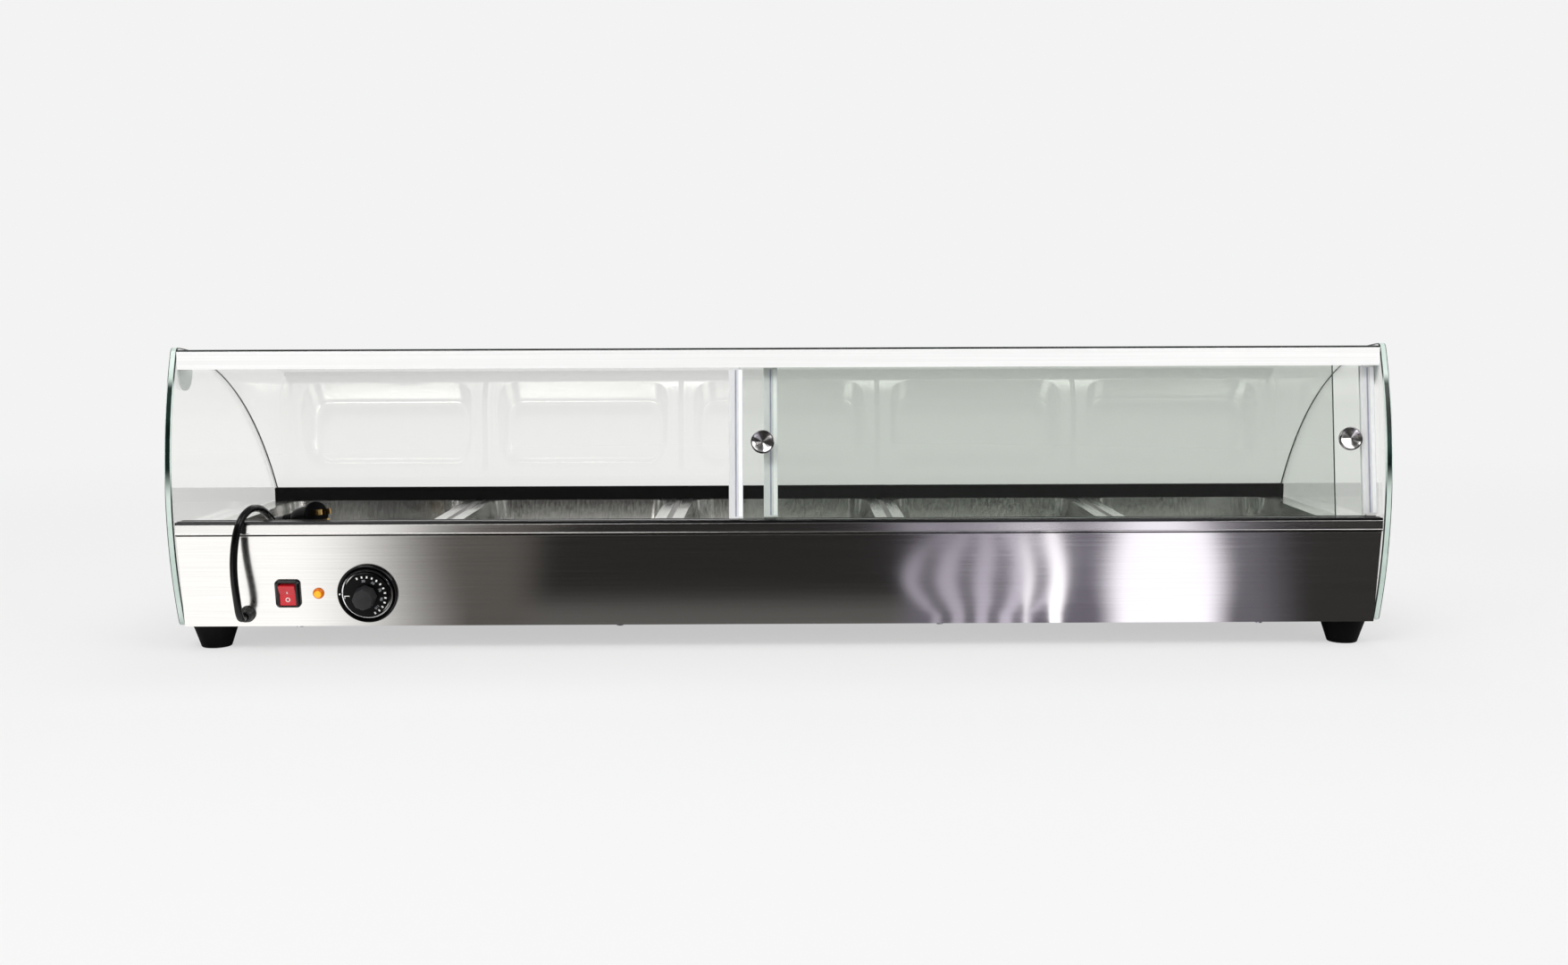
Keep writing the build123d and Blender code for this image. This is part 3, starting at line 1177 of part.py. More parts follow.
def main():
    """Build every piece, centre the case on its origin and write one file per piece."""
    nodes = {}
    for make in (
        make_base,
        make_pans,
        make_heating,
        make_thermostat,
        make_switch,
        make_pilot,
        make_gland,
        make_cord,
        make_plug,
        make_terminal_block,
        make_glass,
        make_rail,
        make_track,
        make_doors,
        make_feet,
    ):
        nodes.update(make())
    groups = {name: s if isinstance(s, list) else [s] for name, s in nodes.items()}
    boxes = [s.bounding_box() for n, group in groups.items() if n not in CORD_NODES for s in group]
    middle_y = (min(b.min.Y for b in boxes) + max(b.max.Y for b in boxes)) / 2
    print(f"lip front at Y {-middle_y:.4f} mm")
    os.makedirs("parts", exist_ok=True)
    for name, group in groups.items():
        solids = [Pos(0, -middle_y, 0) * solid for shape in group for solid in shape.solids()]
        export_step(solids[0] if len(solids) == 1 else Compound(children=solids), f"parts/{name}.step")


main()
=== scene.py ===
import math

import bmesh
import bpy
from bpy.props import FloatProperty, FloatVectorProperty, IntProperty, PointerProperty
from mathutils import Matrix, Vector


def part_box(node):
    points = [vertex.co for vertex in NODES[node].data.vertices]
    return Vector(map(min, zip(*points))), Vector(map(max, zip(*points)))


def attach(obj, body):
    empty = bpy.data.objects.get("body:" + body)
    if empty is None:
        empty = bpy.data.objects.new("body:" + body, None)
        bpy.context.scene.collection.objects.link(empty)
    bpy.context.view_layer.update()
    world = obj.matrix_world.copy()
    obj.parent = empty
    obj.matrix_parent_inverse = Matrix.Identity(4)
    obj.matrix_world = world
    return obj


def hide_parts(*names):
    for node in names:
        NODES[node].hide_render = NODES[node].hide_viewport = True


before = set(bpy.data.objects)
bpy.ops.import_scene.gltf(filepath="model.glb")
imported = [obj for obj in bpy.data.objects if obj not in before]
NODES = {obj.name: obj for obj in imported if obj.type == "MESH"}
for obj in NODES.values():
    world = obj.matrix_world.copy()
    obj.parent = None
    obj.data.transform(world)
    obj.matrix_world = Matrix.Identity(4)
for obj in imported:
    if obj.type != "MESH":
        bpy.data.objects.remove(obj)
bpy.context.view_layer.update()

bl_info = {
    "name": "Heated display case",
    "version": (1, 0, 0),
    "blender": (4, 5, 0),
    "location": "3D View > Sidebar > Display case",
    "description": "Dresses the packed heated display case with its finishes and fine pieces",
    "category": "Object",
}

# Sizes of the case are in millimetres, as in the part's source. MM turns them into metres.
MM = 0.001
LIP_FRONT = -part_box("operator_sill")[0][1] / MM
BODY_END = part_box("operator_sill")[1][0] / MM
PANEL_SLOPE = math.radians(9.0)
DOOR_LEAN = math.radians(8.8)
BASE_Z = 28.0
LIP_FOOT_Z = 137.5
PANEL_SETBACK = 3.5
GROOVE_Z = 150.0
KNOB_Z = 240.0
LEFT_KNOB_X = -19.0
RIGHT_KNOB_X = 659.85
STRIP_WIDTH = 16.0
OUTER_DOOR_Y = 5.0
DOOR_PITCH = 14.0
GLAND_X = -617.0
SWITCH_X = -568.0
PILOT_X = -533.0
DIAL_X = -476.0
CONTROL_HEIGHT = 39.5
GLAND_HEIGHT = 15.0
COIL_X = -540.0
COIL_Y = 240.0
COIL_Z = 103.55
COIL_RADIUS = 50.0
COIL_PITCH = 9.1
PLUG_FACE = (-541.0, 47.0, 154.2)
PLUG_RISE = math.radians(8.0)
PLUG_TURN = math.radians(-35.0)
DIAL_TOP = 11.0

# Noise seldom leaves this band, so colours and roughnesses are spread over it.
NOISE_BAND = (0.3, 0.7)
# Heights in metres at which the edge of a side glass is backed and free: at the base, then at the rail.
# The edge's colours change there, which paints in the light of the bright backing.
FREE_EDGE = ((0.175, 0.215), (0.318, 0.304))
# Points of a CAD copy that are nearer than this, in metres, are one point, or lie on a cut.
MERGE_REACH = 2e-6
CUT_REACH = 1e-6
# Faces of a CAD copy that meet at less than this are one flat face.
FLAT_ANGLE = math.radians(0.3)


def linear(code, alpha=1.0):
    """Turns an sRGB hex colour into the linear values that shaders use."""
    values = [int(code[i:i + 2], 16) / 255 for i in (0, 2, 4)]
    return [c / 12.92 if c <= 0.04045 else ((c + 0.055) / 1.055) ** 2.4 for c in values] + [alpha]


def case_point(x, y, z):
    """A point given in millimetres from the lip's front edge, in the row frame."""
    return Vector((x, y - LIP_FRONT, z)) * MM


def panel_place(x, height):
    """Matrix on the operator panel: X right, Y up the slope, Z out, in millimetres."""
    z = BASE_Z + height
    y = PANEL_SETBACK + (LIP_FOOT_Z - z) * math.tan(PANEL_SLOPE)
    turn = Matrix.Rotation(math.pi / 2 + PANEL_SLOPE, 4, "X")
    return Matrix.Translation(case_point(x, y, z)) @ turn @ Matrix.Scale(MM, 4)


def door_place(x, track):
    """Matrix in the middle of a door at its knob's height: X right, Y up, Z to the operator."""
    y = OUTER_DOOR_Y + track * DOOR_PITCH + (KNOB_Z - GROOVE_Z) * math.tan(DOOR_LEAN)
    turn = Matrix.Rotation(math.pi / 2 - DOOR_LEAN, 4, "X")
    return Matrix.Translation(case_point(x, y, KNOB_Z)) @ turn @ Matrix.Scale(MM, 4)


def faces_sideways(normal):
    """Whether a face looks along the case."""
    return abs(normal.x) > 0.5


def side_glass_rim(normal):
    """Whether a face of a side glass is part of its edge."""
    return not faces_sideways(normal)


def door_rim(normal):
    """Whether a face of a door is part of its edge."""
    return max(abs(normal.x), abs(normal.z)) > 0.5


def add(tree, kind, inputs=None, stops=(), **settings):
    """Adds a node with its settings, the stops of its colour ramp, its values and its links.

    An input that is given as a node is linked to that node's first output.
    """
    made = tree.nodes.new(kind)
    for key, value in settings.items():
        setattr(made, key, value)
    for index, (position, colour) in enumerate(stops):
        made.color_ramp.elements[index].color = linear(colour)
        made.color_ramp.elements[index].position = position
    for key, value in (inputs or {}).items():
        if isinstance(value, bpy.types.Node):
            value = value.outputs[0]
        if isinstance(value, bpy.types.NodeSocket):
            tree.links.new(value, made.inputs[key])
        else:
            made.inputs[key].default_value = value
    return made


def new_material(name):
    """An empty node material and its tree."""
    made = bpy.data.materials.new(name)
    made.use_nodes = True
    made.node_tree.nodes.clear()
    return made, made.node_tree


def grain(tree, spacing, detail=2.0):
    """Noise on object coordinates whose features are spacing (x, y, z) millimetres apart."""
    where = add(tree, "ShaderNodeTexCoord").outputs["Object"]
    scale = [1.0 / (s * MM) for s in spacing]
    mapped = add(tree, "ShaderNodeMapping", {"Vector": where, "Scale": scale})
    return add(tree, "ShaderNodeTexNoise", {"Vector": mapped, "Scale": 1.0, "Detail": detail})


def band(tree, value, limits):
    """One inside a band and nought outside; limits are two pairs of where it is nought and one."""
    ends = [
        add(tree, "ShaderNodeMapRange", {
            "Value": value, "From Min": nought, "From Max": one}, interpolation_type="SMOOTHSTEP")
        for nought, one in limits
    ]
    return add(tree, "ShaderNodeMath", dict(enumerate(ends)), operation="MULTIPLY")


def surface(tree, pattern, colour, rough, relief=(), inputs=None):
    """Closes a material with one principled shader.

    colour is a hex colour, two of them for the pattern to wander between, or a socket. rough is one
    value, or two likewise. relief holds (height, millimetres) bumps, each on top of the one before.
    """
    sockets = {"Base Color": colour, "Roughness": rough, **(inputs or {})}
    if isinstance(colour, str):
        sockets["Base Color"] = linear(colour)
    elif isinstance(colour, tuple):
        sockets["Base Color"] = add(
            tree, "ShaderNodeValToRGB", {"Fac": pattern}, zip(NOISE_BAND, colour))
    if isinstance(rough, tuple):
        sockets["Roughness"] = add(tree, "ShaderNodeMapRange", {
            "Value": pattern, "From Min": NOISE_BAND[0], "From Max": NOISE_BAND[1],
            "To Min": rough[0], "To Max": rough[1]})
    for height, depth in relief:
        bump = {"Height": height, "Distance": depth * MM, "Strength": 1.0}
        if "Normal" in sockets:
            bump["Normal"] = sockets["Normal"]
        sockets["Normal"] = add(tree, "ShaderNodeBump", bump)
    shader = add(tree, "ShaderNodeBsdfPrincipled", sockets)
    add(tree, "ShaderNodeOutputMaterial", {"Surface": shader})


def brushed_stainless():
    """Stainless sheet brushed along its length: highlights smear across the grain."""
    made, tree = new_material("brushed_stainless_sheet")
    # Real brush lines are about 0.1 mm apart; they are drawn 1.6 mm apart so that they show.
    lines = grain(tree, (140.0, 1.6, 1.6), 4.0)
    sway = grain(tree, (260.0, 180.0, 180.0), 1.0)
    normal = add(tree, "ShaderNodeNewGeometry").outputs["Normal"]
    # The grain runs a hair off the X axis, so that the end plates, which face along X, have one too.
    across = add(tree, "ShaderNodeVectorMath", {
        0: normal, 1: (1.0, 0.0, 0.004)}, operation="CROSS_PRODUCT")
    surface(tree, lines, ("CAC8C5", "D0CFCC"), (0.15, 0.18), [(lines, 0.0007), (sway, 0.15)], {
        "Metallic": 1.0, "Anisotropic": 0.4, "Tangent": across})
    return made


def pan_steel():
    """Pressed stainless tray: bright, with faint polishing marks and a slightly uneven skin."""
    made, tree = new_material("pressed_stainless_tray")
    # Polishing marks are finer than 0.5 mm; they are drawn 2 mm apart so that they show.
    marks = grain(tree, (2.0, 60.0, 8.0), 3.0)
    dents = grain(tree, (45.0, 45.0, 45.0), 1.0)
    surface(tree, marks, ("C9C9C6", "DADAD7"), (0.14, 0.24), [(dents, 0.12)], {"Metallic": 1.0})
    return made


def dark_steel(name, dark, light, rough):
    """Darkened steel with a mottled skin: darkened by heat on the element, and by painted shade on the
    pans' bars.
    """
    made, tree = new_material(name)
    patches = grain(tree, (9.0, 9.0, 9.0), 3.0)
    surface(tree, patches, (dark, light), (rough, rough + 0.15), inputs={"Metallic": 1.0})
    return made


def satin_aluminium():
    """Extruded aluminium with a pale satin anodised skin and fine die lines along its length."""
    made, tree = new_material("satin_anodised_aluminium")
    # Die lines are finer than 0.5 mm; they are drawn 1.2 mm apart so that they show.
    lines = grain(tree, (300.0, 1.2, 1.2))
    surface(tree, lines, ("F4F4F3", "FBFBFA"), (0.42, 0.52), [(lines, 0.004)], {"Metallic": 0.1})
    return made


def turned_chrome(name, centre, rough):
    """Lathe-turned and plated metal: rings round the centre draw the light into a star."""
    made, tree = new_material(name)
    where = add(tree, "ShaderNodeTexCoord").outputs["Object"]
    arm = add(tree, "ShaderNodeVectorMath", {0: where, 1: centre}, operation="SUBTRACT")
    reach = add(tree, "ShaderNodeVectorMath", {0: arm}, operation="LENGTH").outputs["Value"]
    # Turning rings are about 0.2 mm apart; they are drawn 0.7 mm apart so that they show.
    rings = add(tree, "ShaderNodeMath", {
        0: reach, 1: 2 * math.pi / (0.7 * MM)}, operation="MULTIPLY")
    wave = add(tree, "ShaderNodeMath", {0: rings}, operation="SINE")
    surface(tree, wave, "DCDAD9", rough, [(wave, 0.006)], {
        "Metallic": 1.0, "Anisotropic": 0.95, "Tangent": arm})
    return made


def plated_metal(name, colour, rough):
    """Plated or polished metal with faint handling marks."""
    made, tree = new_material(name)
    marks = grain(tree, (3.0, 3.0, 3.0), 3.0)
    surface(tree, marks, colour, (rough, rough + 0.08), inputs={"Metallic": 1.0})
    return made


def moulded_plastic(name, dark, light, rough, texture, coat=0.0, shine=0.5):
    """Moulded plastic or rubber with the fine skin of its tool; texture is the bump in millimetres."""
    made, tree = new_material(name)
    # A tool's skin is finer than 0.5 mm; it is drawn 0.9 mm coarse so that it shows.
    skin = grain(tree, (0.9, 0.9, 0.9))
    cloud = grain(tree, (14.0, 14.0, 14.0))
    surface(tree, cloud, (dark, light), (rough, rough + 0.1), [(skin, texture)], {
        "Specular IOR Level": shine, "Coat Weight": coat, "Coat Roughness": 0.12})
    return made


def extruded_black(name, rough, shine):
    """Black extruded profile with die lines along its length."""
    made, tree = new_material(name)
    # Die lines are finer than 0.5 mm; they are drawn 0.8 mm apart so that they show.
    lines = grain(tree, (200.0, 0.8, 0.8))
    surface(tree, lines, ("050506", "0A0A0B"), (rough, rough + 0.1), [(lines, 0.01)], {
        "Specular IOR Level": shine})
    return made


def clear_solid(name, tint, absorb, density):
    """Clear float glass that lets lamps through and takes on colour along a long path."""
    made, tree = new_material(name)
    body = add(tree, "ShaderNodeBsdfPrincipled", {
        "Base Color": linear(tint), "Roughness": 0.0, "IOR": 1.5, "Transmission Weight": 1.0})
    lit = add(tree, "ShaderNodeBsdfTransparent", {"Color": [c ** 0.5 for c in linear(tint)]})
    ray = add(tree, "ShaderNodeLightPath").outputs["Is Shadow Ray"]
    both = add(tree, "ShaderNodeMixShader", {"Fac": ray, 1: body, 2: lit})
    inside = add(tree, "ShaderNodeVolumeAbsorption", {"Color": linear(absorb), "Density": density})
    add(tree, "ShaderNodeOutputMaterial", {"Surface": both, "Volume": inside})
    return made


def milky_strip(name, transmission):
    """Extruded soft PVC edge strip: part clear and part milky, with draw lines along its length."""
    made, tree = new_material(name)
    # Draw lines are finer than 0.5 mm; they are drawn 1.4 mm apart so that they show.
    lines = grain(tree, (1.4, 1.4, 160.0))
    surface(tree, lines, ("F4F6F8", "FFFFFF"), (0.14, 0.24), inputs={
        "IOR": 1.5, "Transmission Weight": transmission})
    return made


def glass_edge(name, colours, rough):
    """Edge of float glass, where one looks into its depth: clouded along its length."""
    made, tree = new_material(name)
    cloud = grain(tree, (40.0, 40.0, 40.0))
    surface(tree, cloud, colours, (rough, rough + 0.12), inputs={"IOR": 1.5})
    return made


def side_glass_edge(name, free, backed, rough):
    """Edge of a side glass with painted light and shade: two colours where it stands free, two where steel
    or the rail backs it and sends its light into the edge.
    """
    made, tree = new_material(name)
    cloud = grain(tree, (40.0, 40.0, 40.0))
    where = add(tree, "ShaderNodeTexCoord").outputs["Object"]
    height = add(tree, "ShaderNodeSeparateXYZ", {"Vector": where}).outputs["Z"]
    # Painted light and shade: the backed pair of colours stands in for the light that the steel or the
    # rail sends into the edge.
    behind, open_air = (
        add(tree, "ShaderNodeValToRGB", {"Fac": cloud}, zip(NOISE_BAND, pair))
        for pair in (backed, free)
    )
    # Sockets 6 and 7 of a Mix node are its two colours, and output 2 is the mixed one.
    both = add(tree, "ShaderNodeMix", {
        "Factor": band(tree, height, FREE_EDGE), 6: behind, 7: open_air}, data_type="RGBA")
    surface(tree, cloud, both.outputs[2], (rough, rough + 0.12), inputs={"IOR": 1.5})
    return made


def lit_plastic(name, colour, glow, strength):
    """Coloured translucent plastic that gives off light: a lamp's glow behind the amber lens, and a
    painted glow in the red rocker, which no lamp lights.
    """
    made, tree = new_material(name)
    cloud = grain(tree, (4.0, 4.0, 4.0))
    surface(tree, cloud, colour, (0.16, 0.26), inputs={
        "IOR": 1.55, "Specular IOR Level": 0.35,
        "Emission Color": linear(glow), "Emission Strength": strength})
    return made


def link(obj):
    """Puts an object in the scene."""
    bpy.context.scene.collection.objects.link(obj)
    return obj


def piece_from(bm, name, materials, sharp=35.0):
    """Turns a bmesh into a smooth-shaded piece with crisp edges."""
    mesh = bpy.data.meshes.new(name)
    bm.to_mesh(mesh)
    bm.free()
    for finish in materials:
        mesh.materials.append(finish)
    mesh.shade_smooth()
    mesh.set_sharp_from_angle(angle=math.radians(sharp))
    return link(bpy.data.objects.new(name, mesh))


def ring(bm, place, radius, height, steps, start=0.5):
    """Points round the place's Z axis, or one tip where the radius is 0."""
    if not radius:
        return [bm.verts.new(place @ Vector((0, 0, height)))]
    angles = [2 * math.pi * (i + start) / steps for i in range(steps)]
    return [
        bm.verts.new(place @ Vector((radius * math.cos(a), radius * math.sin(a), height)))
        for a in angles
    ]


def bridge(bm, below, above, finish=0):
    """Faces between two rings, of which one may be a tip."""
    steps = max(len(below), len(above))
    for i in range(steps):
        j = (i + 1) % steps
        corners = [
            below[i % len(below)], below[j % len(below)],
            above[j % len(above)], above[i % len(above)],
        ]
        # At a tip two of the corners are one point.
        bm.faces.new(list(dict.fromkeys(corners))).material_index = finish


def add_bar(bm, place, centre, size):
    """Adds a flat-sided bar; centre and size are along the place's own axes."""
    bmesh.ops.create_cube(
        bm, size=1.0, matrix=place @ Matrix.Translation(centre) @ Matrix.Diagonal((*size, 1)))


def turned(name, profile, place, materials, steps=72):
    """Spins a profile round its local Z axis.

    A row is (radius, height) in millimetres, or (radius, height, material) where the faces from it to
    the next row have another material than the first.
    """
    bm = bmesh.new()
    rings = [ring(bm, place, radius, height, steps) for radius, height, *_ in profile]
    for below, above, (_, _, *finish) in zip(rings, rings[1:], profile):
        bridge(bm, below, above, *finish)
    bmesh.ops.recalc_face_normals(bm, faces=bm.faces)
    return piece_from(bm, name, materials)


def bead(name, y, z, deep, tall, finish, sides=16):
    """Oval rod along the case; deep and tall are its half sizes in millimetres."""
    bm = bmesh.new()
    angles = [2 * math.pi * i / sides for i in range(sides)]
    left, right = (
        [bm.verts.new(case_point(x, y + deep * math.cos(a), z + tall * math.sin(a))) for a in angles]
        for x in (-BODY_END, BODY_END)
    )
    bridge(bm, left, right)
    bm.faces.new(left)
    bm.faces.new(right)
    bmesh.ops.recalc_face_normals(bm, faces=bm.faces)
    return piece_from(bm, name, [finish], 60.0)


def round_edges(piece, width, segments, angle):
    """Gives a piece rounded edges of a width in millimetres where it bends by more than the angle."""
    edge = piece.modifiers.new("rounded_edges", "BEVEL")
    edge.width = width * MM
    edge.segments = segments
    edge.limit_method = "ANGLE"
    edge.angle_limit = math.radians(angle)
    edge.harden_normals = True
    return edge


def clean_copy(node, name, materials, arris, angle=30.0, edge_rule=None, hole=None):
    """A copy of a CAD node with merged corners and small rounded edges.

    edge_rule picks the edge faces; hole is the X of a hole, where flat faces are parted so that none
    of them runs all the way round it.
    """
    source = NODES[node].data
    bm = bmesh.new()
    corners = [bm.verts.new(v.co) for v in source.vertices]
    for face in source.polygons:
        bm.faces.new([corners[i] for i in face.vertices])
    bmesh.ops.remove_doubles(bm, verts=bm.verts, dist=MERGE_REACH)
    if hole is not None:
        bmesh.ops.bisect_plane(bm, geom=[*bm.verts, *bm.edges, *bm.faces], dist=CUT_REACH,
                               plane_co=(hole * MM, 0, 0), plane_no=(1, 0, 0))
        for face in bm.faces:
            face.material_index = int(face.calc_center_median().x > hole * MM)
    bmesh.ops.dissolve_limit(bm, angle_limit=FLAT_ANGLE, verts=bm.verts, edges=bm.edges,
                             delimit={"MATERIAL"})
    for face in bm.faces:
        face.normal_update()
        face.material_index = 1 if edge_rule and edge_rule(face.normal) else 0
    made = piece_from(bm, name, materials, angle)
    edge = round_edges(made, arris, 2, angle)
    edge.loop_slide = False
    edge.material = len(materials) - 1
    return made


def settle(piece, body, slot, *nodes):
    """Makes a piece ride on its body and hides the CAD nodes that it stands for. Its slot, the name of its
    finish, is not used.
    """
    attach(piece, body)
    if nodes:
        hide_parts(*nodes)
    return piece


def dress(material, *nodes):
    """Gives CAD nodes a finished material."""
    for node in nodes:
        NODES[node].data.materials.clear()
        NODES[node].data.materials.append(material)


def as_mesh(obj, place):
    """The mesh that an object's modifiers or text make, moved to its place."""
    seen = obj.evaluated_get(bpy.context.evaluated_depsgraph_get())
    mesh = bpy.data.meshes.new_from_object(seen)
    mesh.transform(place)
    return mesh


def lettering(name, words, size, place, material):
    """Raised print, made a mesh before its place is applied."""
    curve = bpy.data.curves.new(name, "FONT")
    curve.body = words
    curve.size = size
    curve.align_x = "CENTER"
    curve.align_y = "CENTER"
    curve.extrude = 0.06
    curve.offset = 0.08
    text = link(bpy.data.objects.new(name + "_text", curve))
    mesh = as_mesh(text, place)
    bpy.data.objects.remove(text)
    mesh.materials.clear()
    mesh.materials.append(material)
    return link(bpy.data.objects.new(name, mesh))


class DisplayCaseSizes(bpy.types.PropertyGroup):
    """Sizes that a user of the case may want to change."""

    cord_diameter: FloatProperty(
        name="Lead diameter", description="Thickness of the mains lead",
        default=0.0085, unit="LENGTH")
    cord_length: FloatProperty(
        name="Lead length", description="Length of the mains lead from gland to plug",
        default=1.836, unit="LENGTH")
    arris: FloatProperty(
        name="Glass arris", description="Width of the ground edge of the glass, in millimetres",
        default=0.7)
    fold: FloatProperty(
        name="Sheet fold", description="Radius of the folds of the sheet metal, in millimetres",
        default=0.5)
    marks: IntProperty(
        name="Dial marks", description="Number of marks on the thermostat's scale", default=13)
    lens: FloatProperty(
        name="Lens", description="Focal length of the camera", default=37.7, unit="CAMERA")


class DisplayCaseColours(bpy.types.PropertyGroup):
    """Colours that a user of the case may want to change."""

    floor: FloatVectorProperty(
        name="Floor", description="Colour of the floor", subtype="COLOR",
        default=linear("F1F1F1")[:3])
    sky: FloatVectorProperty(
        name="Backdrop", description="Colour of the backdrop", subtype="COLOR",
        default=linear("F3F3F3")[:3])


class CASE_OT_stage(bpy.types.Operator):
    """Floor, backdrop, lamps, reflection cards and the camera"""

    bl_idname = "display_case.stage"
    bl_label = "Stage"

    # A ray's glossy depth passes this once a mirror has turned the ray back.
    MIRRORED = 0.5
    # Strength of the room's light on the case and as polished metal mirrors it, and the share of it
    # that is lost through glass.
    ROOM_LIGHT = 0.6
    MIRRORED_LIGHT = 0.35
    GLASS_LOSS = 0.7
    # Strips of light on the floor: left and right side as seen on the panel, in metres, the share of
    # the width that fades out at each side, strength, colour, and how the sides bend.
    STRIPS = (
        ("right_shade", 0.5, 1.2, 0.12, 0.17, "8A8886", {}),
        ("left_tail", -0.718, -0.262, 0.15, 0.2, "DCD4CE", {}),
        ("left_strip", -1.2, -0.369, 0.28, 1.65, "FFFFFF", {"lean": 0.02}),
        ("violet_strip", 0.114, 0.518, 0.15, 0.3, "DCD4EC", {}),
        ("right_tail", 0.466, 0.632, 0.5, 0.26, "E4DEF0", {}),
        ("wavy_strip", 0.124, 0.347, 0.08, 1.0, "E6DFF2", {"pinch": 0.42}),
        ("slim_strip", 0.288, 0.304, 0.35, 1.9, "FAF7FF", {"bulge": 0.7}),
        ("thin_strip", 0.317, 0.343, 0.3, 2.4, "FAF7FF", {"bulge": 0.33}),
        ("right_strip", 0.357, 0.548, 0.25, 1.9, "F7F3FF", {"pinch": 0.1}),
    )
    # In metres: the cards start at the foot of the panel, and their sides meet where the viewer stands.
    PANEL_FOOT_Y = 0.178
    CARD_NEAR = 0.012
    CARD_FAR = 8.0
    VIEWER = 2.5
    # Height of the lowest card over the floor, and of each card over the last, in metres.
    CARD_RISE = 0.001
    CARD_GAP = 0.0004
    # Length of a card, in metres, that one step of its UV map covers.
    CARD_STEP = 0.3
    # Steps that the panel's foot and head mirror, and past which a strip runs on straight.
    PANEL_STEPS = (0.2, 0.95)
    BENT_STEPS = 1.5
    # The camera's place in millimetres and its angles in degrees.
    CAMERA_PLACE = (0.0, -1862.7, 383.3)
    CAMERA_YAW = -0.165
    CAMERA_DIP = 5.76
    CAMERA_ROLL = -0.22

    def execute(self, context):
        colours = context.scene.display_case_colours
        self.make_world(context.scene, colours)
        self.make_floor(colours)
        self.make_lamps()
        for side in (1, -1):
            self.make_cards(side)
        self.make_walls(colours)
        self.make_camera(context.scene)
        return {"FINISHED"}

    def seen_rays(self, tree):
        """One for rays that come straight from the camera, also through glass."""
        path = add(tree, "ShaderNodeLightPath").outputs
        seen = add(tree, "ShaderNodeMath", {
            0: path["Is Camera Ray"], 1: path["Is Transmission Ray"]}, operation="MAXIMUM")
        direct = add(tree, "ShaderNodeMath", {
            0: path["Glossy Depth"], 1: self.MIRRORED}, operation="LESS_THAN")
        return add(tree, "ShaderNodeMath", {0: seen, 1: direct}, operation="MULTIPLY")

    def make_world(self, scene, colours):
        """Even room light, dimmer in mirrors and through glass, behind a plain backdrop."""
        world = bpy.data.worlds.new("studio")
        scene.world = world
        world.use_nodes = True
        tree = world.node_tree
        tree.nodes.clear()
        path = add(tree, "ShaderNodeLightPath").outputs
        room = add(tree, "ShaderNodeMapRange", {
            "Value": path["Glossy Depth"], "To Min": self.ROOM_LIGHT, "To Max": self.MIRRORED_LIGHT})
        veil = add(tree, "ShaderNodeMath", {
            0: path["Is Transmission Ray"], 1: -self.GLASS_LOSS, 2: 1.0}, operation="MULTIPLY_ADD")
        level = add(tree, "ShaderNodeMath", {0: room, 1: veil}, operation="MULTIPLY")
        fill = add(tree, "ShaderNodeBackground", {"Color": (1, 1, 1, 1), "Strength": level})
        shown = add(tree, "ShaderNodeBackground", {"Color": (*colours.sky, 1), "Strength": 1.0})
        both = add(tree, "ShaderNodeMixShader", {"Fac": self.seen_rays(tree), 1: fill, 2: shown})
        add(tree, "ShaderNodeOutputWorld", {"Surface": both})
        scene.view_settings.view_transform = "Standard"

    def make_floor(self, colours):
        """Pale floor with the case's shadow, which fades into the backdrop with distance."""
        made, tree = new_material("pale_floor")
        matt = add(tree, "ShaderNodeBsdfDiffuse", {"Color": (*colours.floor, 1)})
        shown = add(tree, "ShaderNodeEmission", {"Color": (*colours.sky, 1), "Strength": 1.0})
        spot = add(tree, "ShaderNodeTexCoord").outputs["Object"]
        reach = add(tree, "ShaderNodeVectorMath", {0: spot}, operation="LENGTH").outputs["Value"]
        blend = add(tree, "ShaderNodeMapRange", {
            "Value": reach, "From Min": 0.5, "From Max": 3.2, "To Min": 0.6, "To Max": 1.0,
        }, interpolation_type="SMOOTHSTEP")
        direct = add(tree, "ShaderNodeMath", {0: self.seen_rays(tree), 1: blend}, operation="MULTIPLY")
        # In mirrors, the floor far behind the case has the backdrop's colour, so that no band shows.
        depth = add(tree, "ShaderNodeSeparateXYZ", {"Vector": spot}).outputs["Y"]
        behind = add(tree, "ShaderNodeMapRange", {"Value": depth, "From Min": 0.6, "From Max": 1.6})
        turns = add(tree, "ShaderNodeLightPath").outputs["Glossy Depth"]
        turned_back = add(tree, "ShaderNodeMath", {0: turns, 1: self.MIRRORED}, operation="GREATER_THAN")
        mirrored = add(tree, "ShaderNodeMath", {0: turned_back, 1: behind}, operation="MULTIPLY")
        share = add(tree, "ShaderNodeMath", {0: direct, 1: mirrored}, operation="MAXIMUM")
        both = add(tree, "ShaderNodeMixShader", {"Fac": share, 1: matt, 2: shown})
        add(tree, "ShaderNodeOutputMaterial", {"Surface": both})
        bm = bmesh.new()
        # A hair below the feet, so that the two never share a plane.
        bmesh.ops.create_grid(bm, x_segments=2, y_segments=2, size=60.0,
                              matrix=Matrix.Translation((0, 0, -0.0003)))
        piece_from(bm, "floor", [made])

    def make_lamps(self):
        """Three soft studio lamps; places and sizes are in metres, power in watts."""
        for name, place, aim, width, depth, power in (
            ("key", (-1.3, -2.4, 2.6), (0, 0, 0.15), 2.2, 1.2, 46.0),
            ("fill", (1.9, -1.6, 2.2), (0, 0, 0.15), 1.6, 1.6, 20.0),
            ("back", (0.3, 2.6, 2.4), (0, 0, 0.2), 2.4, 1.0, 22.0),
        ):
            lamp = bpy.data.lights.new(name, "AREA")
            lamp.shape = "RECTANGLE"
            lamp.size = width
            lamp.size_y = depth
            lamp.energy = power
            body = link(bpy.data.objects.new(name, lamp))
            body.location = place
            body.rotation_euler = (Vector(aim) - Vector(place)).to_track_quat("-Z", "Y").to_euler()

